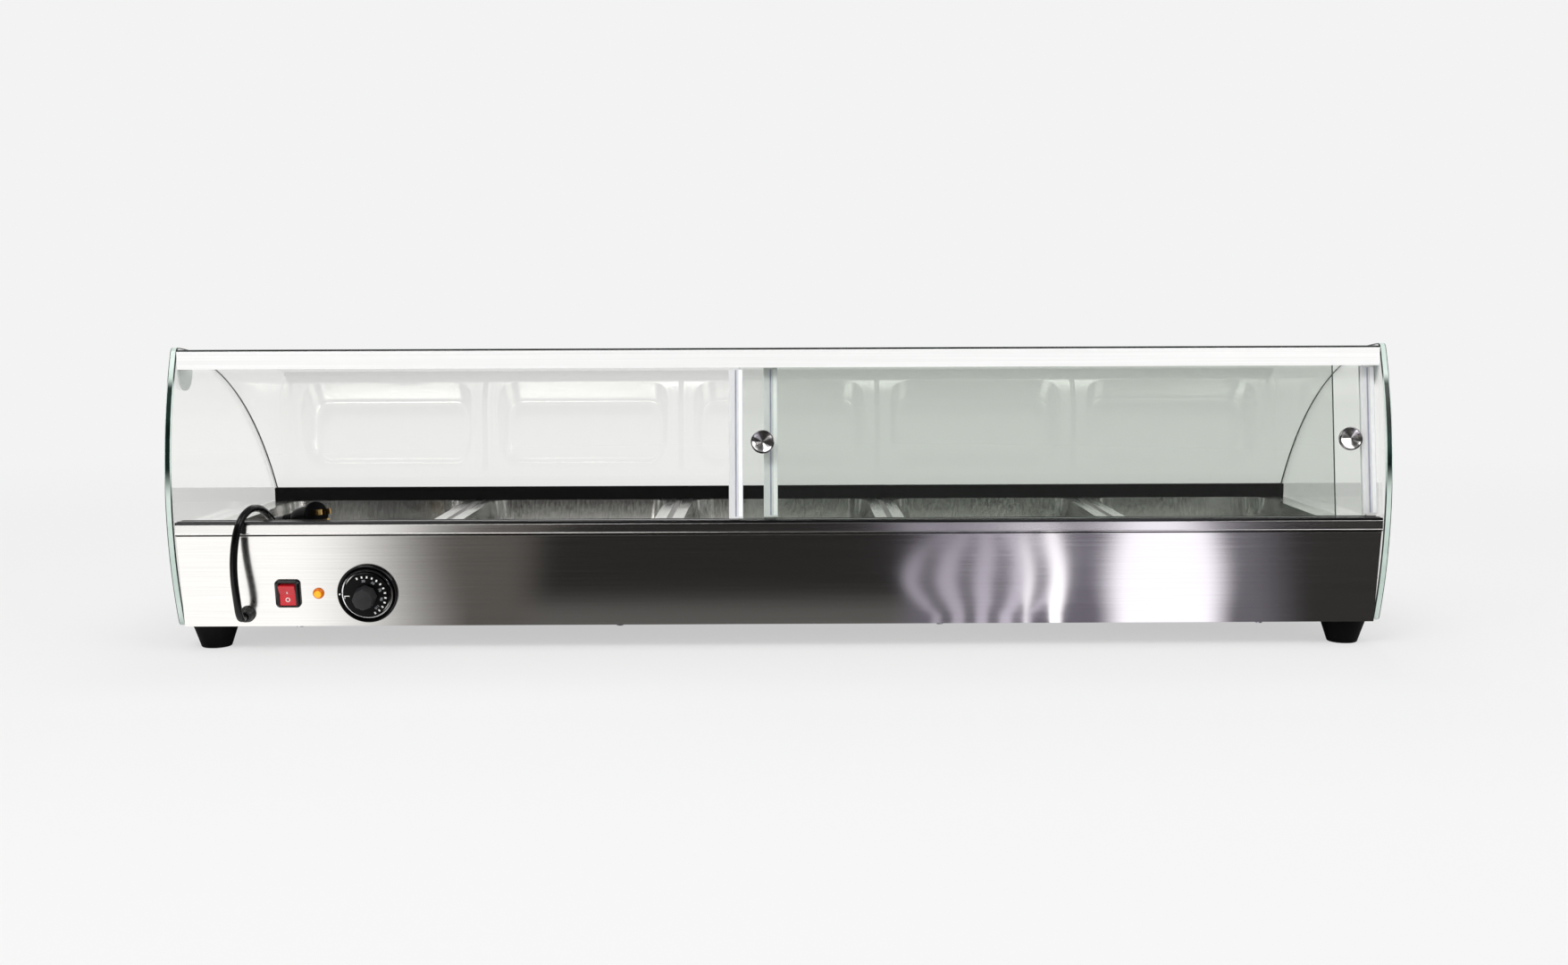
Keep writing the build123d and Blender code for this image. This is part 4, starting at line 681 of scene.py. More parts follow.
    def make_cards(self, side):
        """Dark card and strip lights low in front of a panel, seen only in polished metal."""
        end = "front" if side > 0 else "back"
        made, tree = new_material("flag_light")
        _, _, height = self.card_place(tree)
        dusk = add(tree, "ShaderNodeMapRange", {
            "Value": height, "From Min": -1.0, "From Max": -0.25, "To Min": 0.62, "To Max": 0.12,
        }, interpolation_type="SMOOTHSTEP")
        light = add(tree, "ShaderNodeEmission", {"Color": linear("8A8886"), "Strength": dusk})
        add(tree, "ShaderNodeOutputMaterial", {"Surface": light})
        self.hide(self.fan(f"flag_{end}", -1.2, 1.2, 0, side, made))
        for level, (name, left, right, soft, strength, colour, bends) in enumerate(self.STRIPS, 1):
            made, tree = new_material(f"{name}_light")
            spot, height = self.across_strip(tree, **bends)
            cover = band(tree, spot, ((0.0, soft), (1.0, 1.0 - soft)))
            power = self.ripples(tree, spot, height) if name == "wavy_strip" else strength
            light = add(tree, "ShaderNodeEmission", {"Color": linear(colour), "Strength": power})
            clear = add(tree, "ShaderNodeBsdfTransparent")
            both = add(tree, "ShaderNodeMixShader", {"Fac": cover, 1: clear, 2: light})
            add(tree, "ShaderNodeOutputMaterial", {"Surface": both})
            self.hide(self.fan(f"{name}_{end}", left, right, level, side, made))

    def card_place(self, tree):
        """Where a point of a card lies: across it, along it, and as high as the panel mirrors it.

        The last runs from -1 at the panel's foot to 1 at its head.
        """
        across = add(tree, "ShaderNodeUVMap", uv_map="across")
        place = add(tree, "ShaderNodeSeparateXYZ", {"Vector": across}).outputs
        foot, head = self.PANEL_STEPS
        height = add(tree, "ShaderNodeMapRange", {
            "Value": place["Y"], "From Min": foot, "From Max": head, "To Min": -1.0, "To Max": 1.0})
        return place["X"], place["Y"], height

    def across_strip(self, tree, lean=0.0, bulge=0.0, pinch=0.0):
        """How far across a bent strip a point lies, from 0 to 1, and its height.

        lean slants the strip, bulge bows it and pinch narrows it towards its foot and head.
        """
        x, y, height = self.card_place(tree)
        square = add(tree, "ShaderNodeMath", {0: height, 1: height}, operation="MULTIPLY")
        near = add(tree, "ShaderNodeMath", {0: y, 1: self.BENT_STEPS}, operation="LESS_THAN")
        bow = add(tree, "ShaderNodeMath", {0: square, 1: near}, operation="MULTIPLY")
        squeeze = add(tree, "ShaderNodeMath", {0: bow, 1: -pinch, 2: 1.0}, operation="MULTIPLY_ADD")
        slanted = add(tree, "ShaderNodeMath", {0: height, 1: lean, 2: x}, operation="MULTIPLY_ADD")
        bowed = add(tree, "ShaderNodeMath", {0: bow, 1: bulge, 2: slanted}, operation="MULTIPLY_ADD")
        centred = add(tree, "ShaderNodeMath", {0: bowed, 1: 0.5}, operation="SUBTRACT")
        narrowed = add(tree, "ShaderNodeMath", {0: centred, 1: squeeze}, operation="DIVIDE")
        return add(tree, "ShaderNodeMath", {0: narrowed, 1: 0.5}, operation="ADD"), height

    def ripples(self, tree, spot, height):
        """Strength of the wavy strip: soft upright waves, brighter to the right."""
        point = add(tree, "ShaderNodeCombineXYZ", {"X": spot, "Y": height})
        ripple = add(tree, "ShaderNodeTexWave", {
            "Vector": point, "Scale": 1.45, "Distortion": 1.2, "Detail": 2.0, "Detail Scale": 1.6,
            "Phase Offset": 1.0}).outputs["Fac"]
        swing = add(tree, "ShaderNodeMapRange", {
            "Value": ripple, "From Min": 0.2, "From Max": 0.8, "To Min": 0.28, "To Max": 0.85})
        lift = add(tree, "ShaderNodeMapRange", {"Value": spot, "To Min": 0.8, "To Max": 1.5})
        return add(tree, "ShaderNodeMath", {0: swing, 1: lift}, operation="MULTIPLY")

    def make_walls(self, colours):
        """Dark wall and a lit window in front, pale room round the rest, seen in reflections."""
        sky = (*colours.sky, 1)
        for name, colour, strength, low, high in (
            ("dark_wall", linear("8A8886"), 0.1, (-5.0, -3.6, 0.05), (5.0, -3.6, 3.0)),
            ("side_window", linear("FFFAFA"), 8.0, (2.1, -3.2, 1.1), (5.0, -3.2, 2.2)),
            ("pale_wall", sky, 1.0, (-5.0, 3.6, 0.05), (5.0, 3.6, 3.0)),
            ("pale_left_wall", sky, 1.0, (-4.0, -0.3, 0.05), (-4.0, 3.6, 3.0)),
            ("pale_right_wall", sky, 1.0, (4.0, -0.3, 0.05), (4.0, 3.6, 3.0)),
            ("pale_ceiling", sky, 0.8, (-4.0, -0.3, 3.0), (4.0, 3.6, 3.0)),
        ):
            made, tree = new_material(name)
            light = add(tree, "ShaderNodeEmission", {"Color": colour, "Strength": strength})
            add(tree, "ShaderNodeOutputMaterial", {"Surface": light})
            bm = bmesh.new()
            wide, tall = [axis for axis in range(3) if low[axis] < high[axis]]
            corners = [Vector(low) for _ in range(4)]
            for corner, right, up in zip(corners, (0, 1, 1, 0), (0, 0, 1, 1)):
                corner[wide] = (low, high)[right][wide]
                corner[tall] = (low, high)[up][tall]
            bm.faces.new([bm.verts.new(corner) for corner in corners])
            wall = piece_from(bm, name, [made])
            self.hide(wall)
            # Through glass one sees the pale room behind the case, never the dark wall in front.
            wall.visible_transmission = high[1] > 0

    def hide(self, card):
        """Leaves a card in reflections alone."""
        for kind in ("camera", "diffuse", "shadow", "transmission", "volume_scatter"):
            setattr(card, "visible_" + kind, False)

    def fan(self, name, left, right, level, side, material):
        """Card whose sides run to the viewer's foot, so that its mirror image stands upright."""
        bm = bmesh.new()
        uv = bm.loops.layers.uv.new("across")
        near, far = self.CARD_NEAR, self.CARD_FAR
        z = self.CARD_RISE + self.CARD_GAP * level
        corners = []
        for u, reach, share in ((left, near, 0), (right, near, 1), (right, far, 1), (left, far, 0)):
            x = u * (1 + reach / self.VIEWER)
            corner = bm.verts.new((side * x, side * (-self.PANEL_FOOT_Y - reach), z))
            corners.append((corner, (share, reach / self.CARD_STEP)))
        face = bm.faces.new([c for c, _ in corners])
        for loop, (_, place) in zip(face.loops, corners):
            loop[uv].uv = place
        return piece_from(bm, name, [material])

    def make_camera(self, scene):
        """Camera at the photograph's viewing angle."""
        camera = bpy.data.cameras.new("camera")
        camera.lens = scene.display_case_sizes.lens
        camera.sensor_width = 36.0
        camera.clip_end = 200.0
        body = link(bpy.data.objects.new("camera", camera))
        aim = Matrix.Rotation(math.radians(self.CAMERA_YAW), 4, "Z")
        aim = aim @ Matrix.Rotation(math.radians(90.0 - self.CAMERA_DIP), 4, "X")
        aim = aim @ Matrix.Rotation(math.radians(self.CAMERA_ROLL), 4, "Z")
        body.matrix_world = Matrix.Translation(case_point(*self.CAMERA_PLACE)) @ aim
        scene.camera = body


class CASE_OT_lead(bpy.types.Operator):
    """Mains lead with its coil, tie, gland and moulded plug"""

    bl_idname = "display_case.lead"
    bl_label = "Mains lead"

    def execute(self, context):
        sizes = context.scene.display_case_sizes
        # Extruded soft PVC: nearly black, with a narrow highlight along each bend.
        sheath = moulded_plastic(
            "pvc_lead_sheath", "030304", "070708", 0.2, 0.01, coat=0.1, shine=0.16)
        # Moulded PVC: blacker and duller than the lead.
        moulding = moulded_plastic("pvc_plug_moulding", "020203", "050506", 0.3, 0.02, shine=0.04)
        # Moulded nylon: very dark grey with a waxy sheen.
        nylon = moulded_plastic("nylon_gland", "0B0B0C", "151516", 0.4, 0.03)
        # Nylon tape: a shade lighter and rougher than the gland.
        tie = moulded_plastic("nylon_tie", "141414", "1C1C1C", 0.45, 0.02)
        # Drawn brass: warm yellow, bright along its flats.
        dress(plated_metal("drawn_brass", "D8B470", 0.2), "plug_pins")
        dress(tie, "cord_tie")
        dress(nylon, "gland_nut")
        plug = self.make_plug(moulding)
        self.make_gland(nylon)
        cord = self.make_cord(sizes, sheath)
        self.points()[0]
        return {"FINISHED"}

    def plug_place(self):
        """Matrix at the plug's face: Z out of the face, in millimetres."""
        out = Vector((math.cos(PLUG_RISE), 0, math.sin(PLUG_RISE)))
        out.rotate(Matrix.Rotation(PLUG_TURN, 3, "Z"))
        level = out.cross(Vector((0, 0, 1))).normalized()
        turn = Matrix((level, out.cross(level), out)).transposed().to_4x4()
        return Matrix.Translation(case_point(*PLUG_FACE)) @ turn @ Matrix.Scale(MM, 4)

    def points(self):
        """The route's points: up in front of the panel, over the lip, round the coil, to the plug."""
        gland = panel_place(GLAND_X, GLAND_HEIGHT)
        route = [gland @ Vector((0, 0, 6.0)), gland @ Vector((0, 0, 20.5))]
        for dx, y, z in (
            (-0.5, -10, 46), (-1.5, -13, 64), (-3.5, -14.5, 88), (-3.5, -14, 112), (-1, -12, 136),
            (3.5, -7.5, 155.5), (10, 7, 167), (15.5, 26, 166), (18.5, 44, 157.5), (19, 63, 146),
            (17, 83, 132.5), (14, 104, 118.5), (12.8, 126, 108.5), (15.5, 149, COIL_Z + 1),
            (25.2, 169.7, COIL_Z), (42, 183.8, COIL_Z), (61, 190, COIL_Z), (77, 189.5, COIL_Z),
        ):
            route.append(case_point(GLAND_X + dx, y, z))
        route += self.coil_points()
        left = COIL_X - COIL_RADIUS - COIL_PITCH / 2
        start = COIL_Y - COIL_PITCH / 2
        top = COIL_Z + COIL_PITCH
        route += [case_point(left, start, top), case_point(left, start - 15, top)]
        for dx, y, z in (
            (19.5, 200, 114), (13, 179, 118.5), (5.5, 158, 125.5), (0.5, 138, 133),
            (0.1, 119.8, 138.3), (6, 102.8, 141.7),
        ):
            route.append(case_point(GLAND_X + dx, y, z))
        plug = self.plug_place()
        return route + [plug @ Vector((0, 0, -73.0)), plug @ Vector((0, 0, -58.0))]

    def coil_points(self, per_turn=16):
        """Half turns that spiral in, climb one layer and spiral out again."""
        half = per_turn // 2
        spread = 1 / math.cos(math.pi / per_turn)
        inward = [COIL_RADIUS - k * COIL_PITCH / 2 for k in range(5)]
        turns = inward + inward[-2::-1] + [COIL_RADIUS + COIL_PITCH / 2]
        y = -COIL_RADIUS
        z = 0.0
        side = 1
        made = []
        for index, radius in enumerate(turns):
            rise = COIL_PITCH if radius == inward[-1] else 0.0
            count = half if index < len(turns) - 1 else half // 2
            centre = y + side * radius
            for k in range(count):
                angle = math.pi * (k + 0.5) / half
                made.append(case_point(
                    COIL_X + side * radius * spread * math.sin(angle),
                    COIL_Y + centre - side * radius * spread * math.cos(angle),
                    COIL_Z + z + rise * (1 - math.cos(angle)) / 2,
                ))
            y += 2 * side * radius
            z += rise
            side = -side
        return made

    def make_cord(self, sizes, sheath):
        """The lead as one smooth tube."""
        curve = bpy.data.curves.new("mains_lead", "CURVE")
        curve.dimensions = "3D"
        curve.bevel_depth = sizes.cord_diameter / 2
        curve.bevel_resolution = 6
        curve.use_fill_caps = True
        spline = curve.splines.new("NURBS")
        route = self.points()
        spline.points.add(len(route) - 1)
        for knot, place in zip(spline.points, route):
            knot.co = (*place, 1.0)
        spline.order_u = 3
        spline.use_endpoint_u = True
        spline.resolution_u = 7
        curve.materials.append(sheath)
        cord = link(bpy.data.objects.new("mains_lead", curve))
        return settle(cord, "case", "cord_black", "cord_lead", "cord_coil", "cord_tail")

    def make_plug(self, moulding):
        """Plug with a ribbed strain relief, a tapered grip and a flange at its face."""
        profile = [
            (0, -58), (4.9, -58), (5.4, -57.4), (5.5, -54.5), (4.9, -53.8), (5.0, -52.6), (5.8, -51.9),
            (6.0, -49.0), (5.3, -48.3), (5.4, -47.1), (6.3, -46.4), (6.6, -43.5), (5.8, -42.8),
            (5.9, -41.6), (6.9, -40.9), (7.3, -37.6), (7.6, -36.8), (9.2, -36.0), (10.3, -34.9),
            (11.0, -33.0), (12.2, -24.0), (13.0, -14.0), (13.4, -8.0), (13.6, -5.2), (14.2, -4.3),
            (16.0, -4.0), (16.7, -3.5), (17.0, -2.6), (17.0, -1.2), (16.6, -0.4), (15.8, 0), (0, 0),
        ]
        plug = turned("mains_plug", profile, self.plug_place(), [moulding], 64)
        return settle(plug, "case", "plug_black", "plug_body")

    def make_gland(self, nylon):
        """Gland with a flange on the panel and a rounded nose round the lead."""
        profile = [
            (4.5, -11), (6.0, -11), (6.0, 0), (8.6, 0), (9.25, 0.6), (9.25, 3.2), (8.8, 4.0), (8.3, 4.4),
            (8.2, 5.4), (8.0, 6.6), (7.4, 8.6), (6.7, 10.8), (6.2, 11.7), (5.5, 12.0), (4.5, 11.7),
            (4.5, -11),
        ]
        gland = turned("lead_gland", profile, panel_place(GLAND_X, GLAND_HEIGHT), [nylon], 48)
        return settle(gland, "case", "gland_black", "cable_gland")


class CASE_OT_metalwork(bpy.types.Operator):
    """Base, pans, rail, track and the heating parts"""

    bl_idname = "display_case.metalwork"
    bl_label = "Metalwork"

    def execute(self, context):
        fold = context.scene.display_case_sizes.fold
        steel = brushed_stainless()
        aluminium = satin_aluminium()
        # Black anodised aluminium: glossy enough to draw a thin bright line along each edge.
        track = extruded_black("black_anodised_track", 0.2, 0.5)
        # Matt black profile: swallows light, so that the pane's foot reads as a dark line.
        black = extruded_black("matt_black_channel", 0.5, 0.12)
        # Bare steel of the bars, with the pans' shade painted in: grey, without bright streaks.
        dark = dark_steel("steel_bars_painted_shade", "5A5856", "767472", 0.35)
        # Steel tube that has been hot: brown and mottled.
        heated = dark_steel("heat_darkened_steel", "3A332E", "6A5F57", 0.4)
        # Zinc plate: pale and faintly cool.
        zinc = plated_metal("zinc_plated_steel", "B9BCC0", 0.28)
        # Drawn copper: warm red-brown, bright along the tube.
        copper = plated_metal("drawn_copper_tube", "C58A62", 0.25)
        # Painted plate: an even pale grey with a soft sheen.
        grey = moulded_plastic("grey_painted_plate", "D2D8D5", "DCE2DF", 0.42, 0.02)
        # Foam tape: off-white and quite dull.
        foam = moulded_plastic("foam_tape", "DADAD6", "EAEAE6", 0.8, 0.1)
        # Pressed phenolic: dull dark grey.
        holder = moulded_plastic("black_phenolic", "19191A", "262627", 0.5, 0.03)
        dress(steel, "customer_panel", "customer_sill", "bottom_plate", "end_plate_left",
              "end_plate_right", "heat_shield", "element_brackets")
        dress(pan_steel(), *(f"food_pan_{i}" for i in range(1, 6)))
        dress(dark, "pan_cross_bars")
        dress(heated, "heating_element")
        dress(zinc, "rail_screws", "foot_bolts", "foot_nuts", "base_screws", "thermostat_screws",
              "thermostat_shaft")
        dress(copper, "thermostat_capillary")
        dress(foam, "glass_tape_left", "glass_tape_right")
        dress(holder, "pilot_holder", "terminal_block", "thermostat_body")
        for node, finish, slot, edge in (
            ("operator_panel", steel, "stainless", 0.3),
            ("operator_sill", steel, "stainless", fold),
            ("top_rail", aluminium, "rail_metal", 0.6),
            ("lower_door_track", track, "track_black", 0.4),
            ("front_glass_channel", black, "track_black", 0.5),
            ("rail_bracket_left", grey, "bracket_grey", 0.3),
            ("rail_bracket_right", grey, "bracket_grey", 0.3),
        ):
            settle(clean_copy(node, node + "_finished", [finish], edge), "case", slot, node)
        self.make_lip_hem(steel, black)
        return {"FINISHED"}

    def make_lip_hem(self, steel, black):
        """Rolled hem of the lip, a black bar that paints the shadow of the gap below it, and the panel's
        head fold.
        """
        head_drop = 2.1
        head = PANEL_SETBACK + head_drop * math.tan(PANEL_SLOPE)
        for name, finish, slot, y, drop, deep, tall in (
            ("lip_hem", steel, "stainless", 0.5, -0.9, 0.8, 0.95),
            # Painted shadow: a matt black bar stands where the gap under the hem is only in shade.
            ("lip_painted_shadow", black, "track_black", 2.4, 0.7, 1.2, 0.75),
            ("panel_head_fold", steel, "stainless", head, head_drop, 0.5, 0.7),
        ):
            settle(bead(name, y, LIP_FOOT_Z - drop, deep, tall, finish), "case", slot)


class CASE_OT_glazing(bpy.types.Operator):
    """Side glasses, curved pane and the two sliding doors"""

    bl_idname = "display_case.glazing"
    bl_label = "Glazing"

    def execute(self, context):
        arris = context.scene.display_case_sizes.arris
        # Clear float glass: nearly colourless face on, greenish along the sheet.
        fixed = clear_solid("clear_float_glass", "FFFFFD", "CBDFD4", 2.0)
        # Common float glass: a grey-green cast, deeper where the doors lie behind each other.
        sliding = clear_solid("green_float_glass", "F0F3F0", "B2CDBF", 4.0)
        # Ground edge: pale and frosted, because it scatters the light inside the sheet.
        ground = glass_edge("ground_glass_edge", ("B4C6BC", "D0DED6"), 0.28)
        # Arris: a dark line where one looks into the depth of the sheet.
        rim = glass_edge("dark_glass_arris", ("0C1613", "1A2823"), 0.2)
        # Polished edges of the side glasses: dark in the open, with painted light that makes them pale on
        # a bright backing, and an arris that is the other way round. The ends of the curved pane are dark
        # all along.
        deep, pale = ("040A09", "16302A"), ("BCD0C6", "DCE8E2")
        polished = side_glass_edge("polished_glass_edge", deep, pale, 0.12)
        seamed = side_glass_edge("seamed_glass_arris", pale, deep, 0.24)
        pane_end = glass_edge("dark_polished_edge", deep, 0.12)
        # Soft PVC strips: the broad faces half clear, the narrow ones milky.
        clear = milky_strip("half_clear_extruded_strip", 0.3)
        milky = milky_strip("milky_extruded_strip", 0.0)
        # A thin blue-grey line down the middle of each strip.
        seam = moulded_plastic("grey_strip_seam", "8E90A4", "A2A4B6", 0.3, 0.0)
        side_finish = (fixed, polished, seamed)
        door_finish = (sliding, ground, rim)
        for node, body, finishes, wide, hole, rule in (
            ("side_glass_left", "case", side_finish, 1.9, None, side_glass_rim),
            ("side_glass_right", "case", side_finish, 1.9, None, side_glass_rim),
            ("front_glass", "case", (fixed, pane_end, rim), 1.8, None, faces_sideways),
            ("left_door_glass", "left_door", door_finish, 1.0, LEFT_KNOB_X, door_rim),
            ("right_door_glass", "right_door", door_finish, 1.0, RIGHT_KNOB_X, door_rim),
        ):
            pane = clean_copy(node, node + "_pane", finishes, wide * arris, 40.0, rule, hole)
            settle(pane, body, "glass", node)
        for node, body in (
            ("left_door_edge_strip", "left_door"), ("right_door_edge_strips", "right_door"),
        ):
            strip = clean_copy(node, node + "_extruded", [clear, milky], 0.5, 40.0, faces_sideways)
            settle(strip, body, "clear_plastic", node)
        # The middle line is thin and blue-grey; the lip is a milky bar near one edge of each strip, partly
        # the strip's milky edge and partly a painted highlight along it.
        for part, finish, middle, wide, out in (
            ("seam", seam, 8.0, 1.7, 4.0), ("lip", milky, 13.3, 4.2, 3.95),
        ):
            self.make_line(part, "left_door_edge_strip", "left_door", 0, (middle,), wide, out, finish)
            self.make_line(part, "right_door_edge_strips", "right_door", 1,
                           (middle, middle - STRIP_WIDTH), wide, out, finish)
        self.make_knob("left", LEFT_KNOB_X, 0)
        self.make_knob("right", RIGHT_KNOB_X, 1)
        return {"FINISHED"}

    def make_line(self, part, node, body, track, insets, wide, out, finish):
        """A flat line along each edge strip; insets run from the node's ends to the line's middle."""
        low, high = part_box(node)
        tall = (high[2] - low[2]) / MM / math.cos(DOOR_LEAN)
        rise = ((low[2] + high[2]) / 2 / MM - KNOB_Z) / math.cos(DOOR_LEAN)
        bm = bmesh.new()
        for inset in insets:
            x = (low[0] if inset > 0 else high[0]) / MM + inset
            # A little shorter than its strip, and 0.3 mm thick.
            add_bar(bm, door_place(x, track), (0, rise, out), (wide, 0.97 * tall, 0.3))
        settle(piece_from(bm, f"{node}_{part}", [finish]), body, "clear_plastic")

    def make_knob(self, side, x, track):
        """Door knob with a dished face turned on a lathe."""
        place = door_place(x, track)
        face = turned_chrome(f"turned_knob_{side}", place @ Vector((0, 0, 9.5)), 0.2)
        # Plated rim: grey and mirror bright.
        plain = plated_metal(f"plated_knob_rim_{side}", "8E8C8C", 0.12)
        profile = [
            (0, -3.5, 1), (2.9, -3.5, 1), (3.0, 2.5, 1), (6.8, 2.5, 1), (7.0, 2.8, 1), (7.0, 3.9, 1),
            (12.6, 3.9, 1), (13.2, 4.2, 1), (13.5, 4.8, 1), (13.5, 8.4, 1), (13.2, 9.1, 1),
            (12.6, 9.5, 1), (11.9, 9.5, 1), (11.6, 9.3), (8.0, 8.65), (4.0, 7.95), (1.0, 7.4), (0, 7.25),
        ]
        knob = turned(f"{side}_door_turned_knob", profile, place, [face, plain])
        settle(knob, f"{side}_door", "knob_chrome", f"{side}_door_knob")
        dress(plain, f"{side}_door_knob_cap")


class CASE_OT_dial(bpy.types.Operator):
    """Thermostat bezel and numbered dial"""

    bl_idname = "display_case.dial"
    bl_label = "Thermostat dial"

    # The print on the dial is this thick and stands this far out of the panel.
    PRINT = 0.14
    PRINT_LEVEL = DIAL_TOP + 0.05
    # Angles of the scale's first and last mark from the panel's X axis.
    FIRST_MARK = math.radians(113.0)
    LAST_MARK = math.radians(-65.0)
    MARK_RADIUS = 22.7
    MARK_LENGTH = 2.6
    MARK_WIDTH = 1.8
    NUMBERS = ("30", "50", "70", "90", "110")
    NUMBER_RADIUS = 18.0
    NUMBER_SIZE = 4.2
    GRIP_SIDES = 8

    def execute(self, context):
        # Chrome plate: a thin, mirror-bright ring.
        self.chrome = plated_metal("chromed_bezel", "D9D9DA", 0.08)
        # Gloss moulding: black, with a sharp reflection along its crown.
        self.ring = moulded_plastic("black_gloss_bezel", "030304", "060607", 0.1, 0.0, shine=0.25)
        # Satin moulding: black and quiet under the print.
        self.black = moulded_plastic("black_moulded_dial", "030304", "060607", 0.3, 0.02, shine=0.1)
        # Grained moulding: dark grey, so that the grip stands out from the skirt.
        self.grip = moulded_plastic("dark_grey_grip", "242426", "303032", 0.45, 0.04, shine=0.3)
        # Printing ink: dull white on the marks, greyer on the small numbers.
        self.ink = moulded_plastic("white_print", "F0F0EC", "FAFAF6", 0.5, 0.005)
        self.faded = moulded_plastic("grey_print", "8E9296", "A4A8AC", 0.5, 0.005)
        place = panel_place(DIAL_X, CONTROL_HEIGHT)
        self.make_bezel(place)
        self.make_skirt(place)
        self.make_grip(place)
        self.make_marks(place, context.scene.display_case_sizes.marks)
        self.make_numbers(place)
        self.make_pointer(place)
        return {"FINISHED"}

    def make_bezel(self, place):
        """Black ring with a bright inner rim and a white dot."""
        profile = [
            (27.0, 0, 1), (27.0, 3.4, 1), (27.3, 4.1, 1), (27.9, 4.4, 1), (28.5, 4.1, 1), (28.8, 3.4, 1),
            (29.3, 3.2), (31.0, 3.9), (32.6, 4.6), (33.3, 4.9), (33.8, 4.9), (34.2, 4.6), (34.5, 4.0),
            (34.6, 3.2), (34.6, 0), (27.0, 0, 1),
        ]
        bezel = turned("thermostat_bezel", profile, place, [self.ring, self.chrome], 96)
        settle(bezel, "case", "bezel_black", "dial_bezel")
        dot = turned("bezel_dot", [(0, 4.6), (1.1, 4.6), (1.1, 3.9), (0, 3.9)],
                     place @ Matrix.Translation((-31.6, 0, 0)), [self.ink], 20)
        settle(dot, "case", "dial_black")

    def make_skirt(self, place):
        """Round skirt of the dial, with a hole for the shaft."""
        profile = [
            (3.15, 3.0), (24.6, 3.0), (25.6, 3.3), (26.0, 4.0), (26.0, 9.4), (25.7, 10.3), (25.0, 10.8),
            (24.2, DIAL_TOP), (12.0, DIAL_TOP), (3.15, DIAL_TOP), (3.15, 3.0),
        ]
        skirt = turned("dial_skirt", profile, place, [self.black], 96)
        settle(skirt, "dial", "dial_black", "dial_knob")

    def make_grip(self, place):
        """Tapered grip with flat sides, as (corner radius, height) rings."""
        rows = [(13.5, DIAL_TOP), (13.4, 12.0), (12.3, 25.6), (12.0, 27.0), (11.3, 27.8), (10.3, 28.0)]
        bm = bmesh.new()
        rings = [ring(bm, place, *row, self.GRIP_SIDES, start=0) for row in rows]
        for low, high in zip(rings, rings[1:]):
            bridge(bm, low, high)
        bm.faces.new(rings[-1])
        bm.faces.new(rings[0][::-1])
        bmesh.ops.recalc_face_normals(bm, faces=bm.faces)
        grip = piece_from(bm, "dial_grip", [self.grip], 50.0)
        round_edges(grip, 0.9, 3, 25.0)
        settle(grip, "dial", "dial_black")

    def make_marks(self, place, count):
        """Ring of marks round the scale."""
        tree = self.ring_of_marks()
        keys = {s.name: s.identifier for s in tree.interface.items_tree if s.in_out == "INPUT"}
        marks = link(bpy.data.objects.new("dial_marks", bpy.data.meshes.new("dial_marks")))
        maker = marks.modifiers.new("marks", "NODES")
        maker.node_group = tree
        for name, value in (
            ("Count", count),
            ("Radius", self.MARK_RADIUS),
            ("First angle", self.FIRST_MARK),
            ("Step", (self.LAST_MARK - self.FIRST_MARK) / (count - 1)),
            ("Length", self.MARK_LENGTH),
            ("Width", self.MARK_WIDTH),
            ("Height", self.PRINT),
            ("Ink", self.ink),
        ):
            maker[keys[name]] = value
        marks.data = as_mesh(marks, place @ Matrix.Translation((0, 0, DIAL_TOP)))
        marks.modifiers.clear()
        settle(marks, "dial", "dial_black")

    def make_numbers(self, place):
        """Numbers spread over the scale, their feet to the centre."""
        for index, words in enumerate(self.NUMBERS):
            share = (index + 0.5) / len(self.NUMBERS)
            angle = self.FIRST_MARK + (self.LAST_MARK - self.FIRST_MARK) * share
            spot = Matrix.Translation((
                self.NUMBER_RADIUS * math.cos(angle), self.NUMBER_RADIUS * math.sin(angle),
                self.PRINT_LEVEL))
            turn = Matrix.Rotation(angle - math.pi / 2, 4, "Z")
            number = lettering(
                f"dial_number_{words}", words, self.NUMBER_SIZE, place @ spot @ turn, self.faded)
            settle(number, "dial", "dial_black")

    def make_pointer(self, place):
        """Hooked line that points at the bezel's dot, as (centre, size) bars."""
        bm = bmesh.new()
        for x, y, length, width in ((-21.5, 0, 6.0, 0.9), (-24.1, -1.3, 0.9, 3.4)):
            add_bar(bm, place, (x, y, self.PRINT_LEVEL), (length, width, self.PRINT))
        settle(piece_from(bm, "dial_pointer", [self.ink]), "dial", "dial_black")

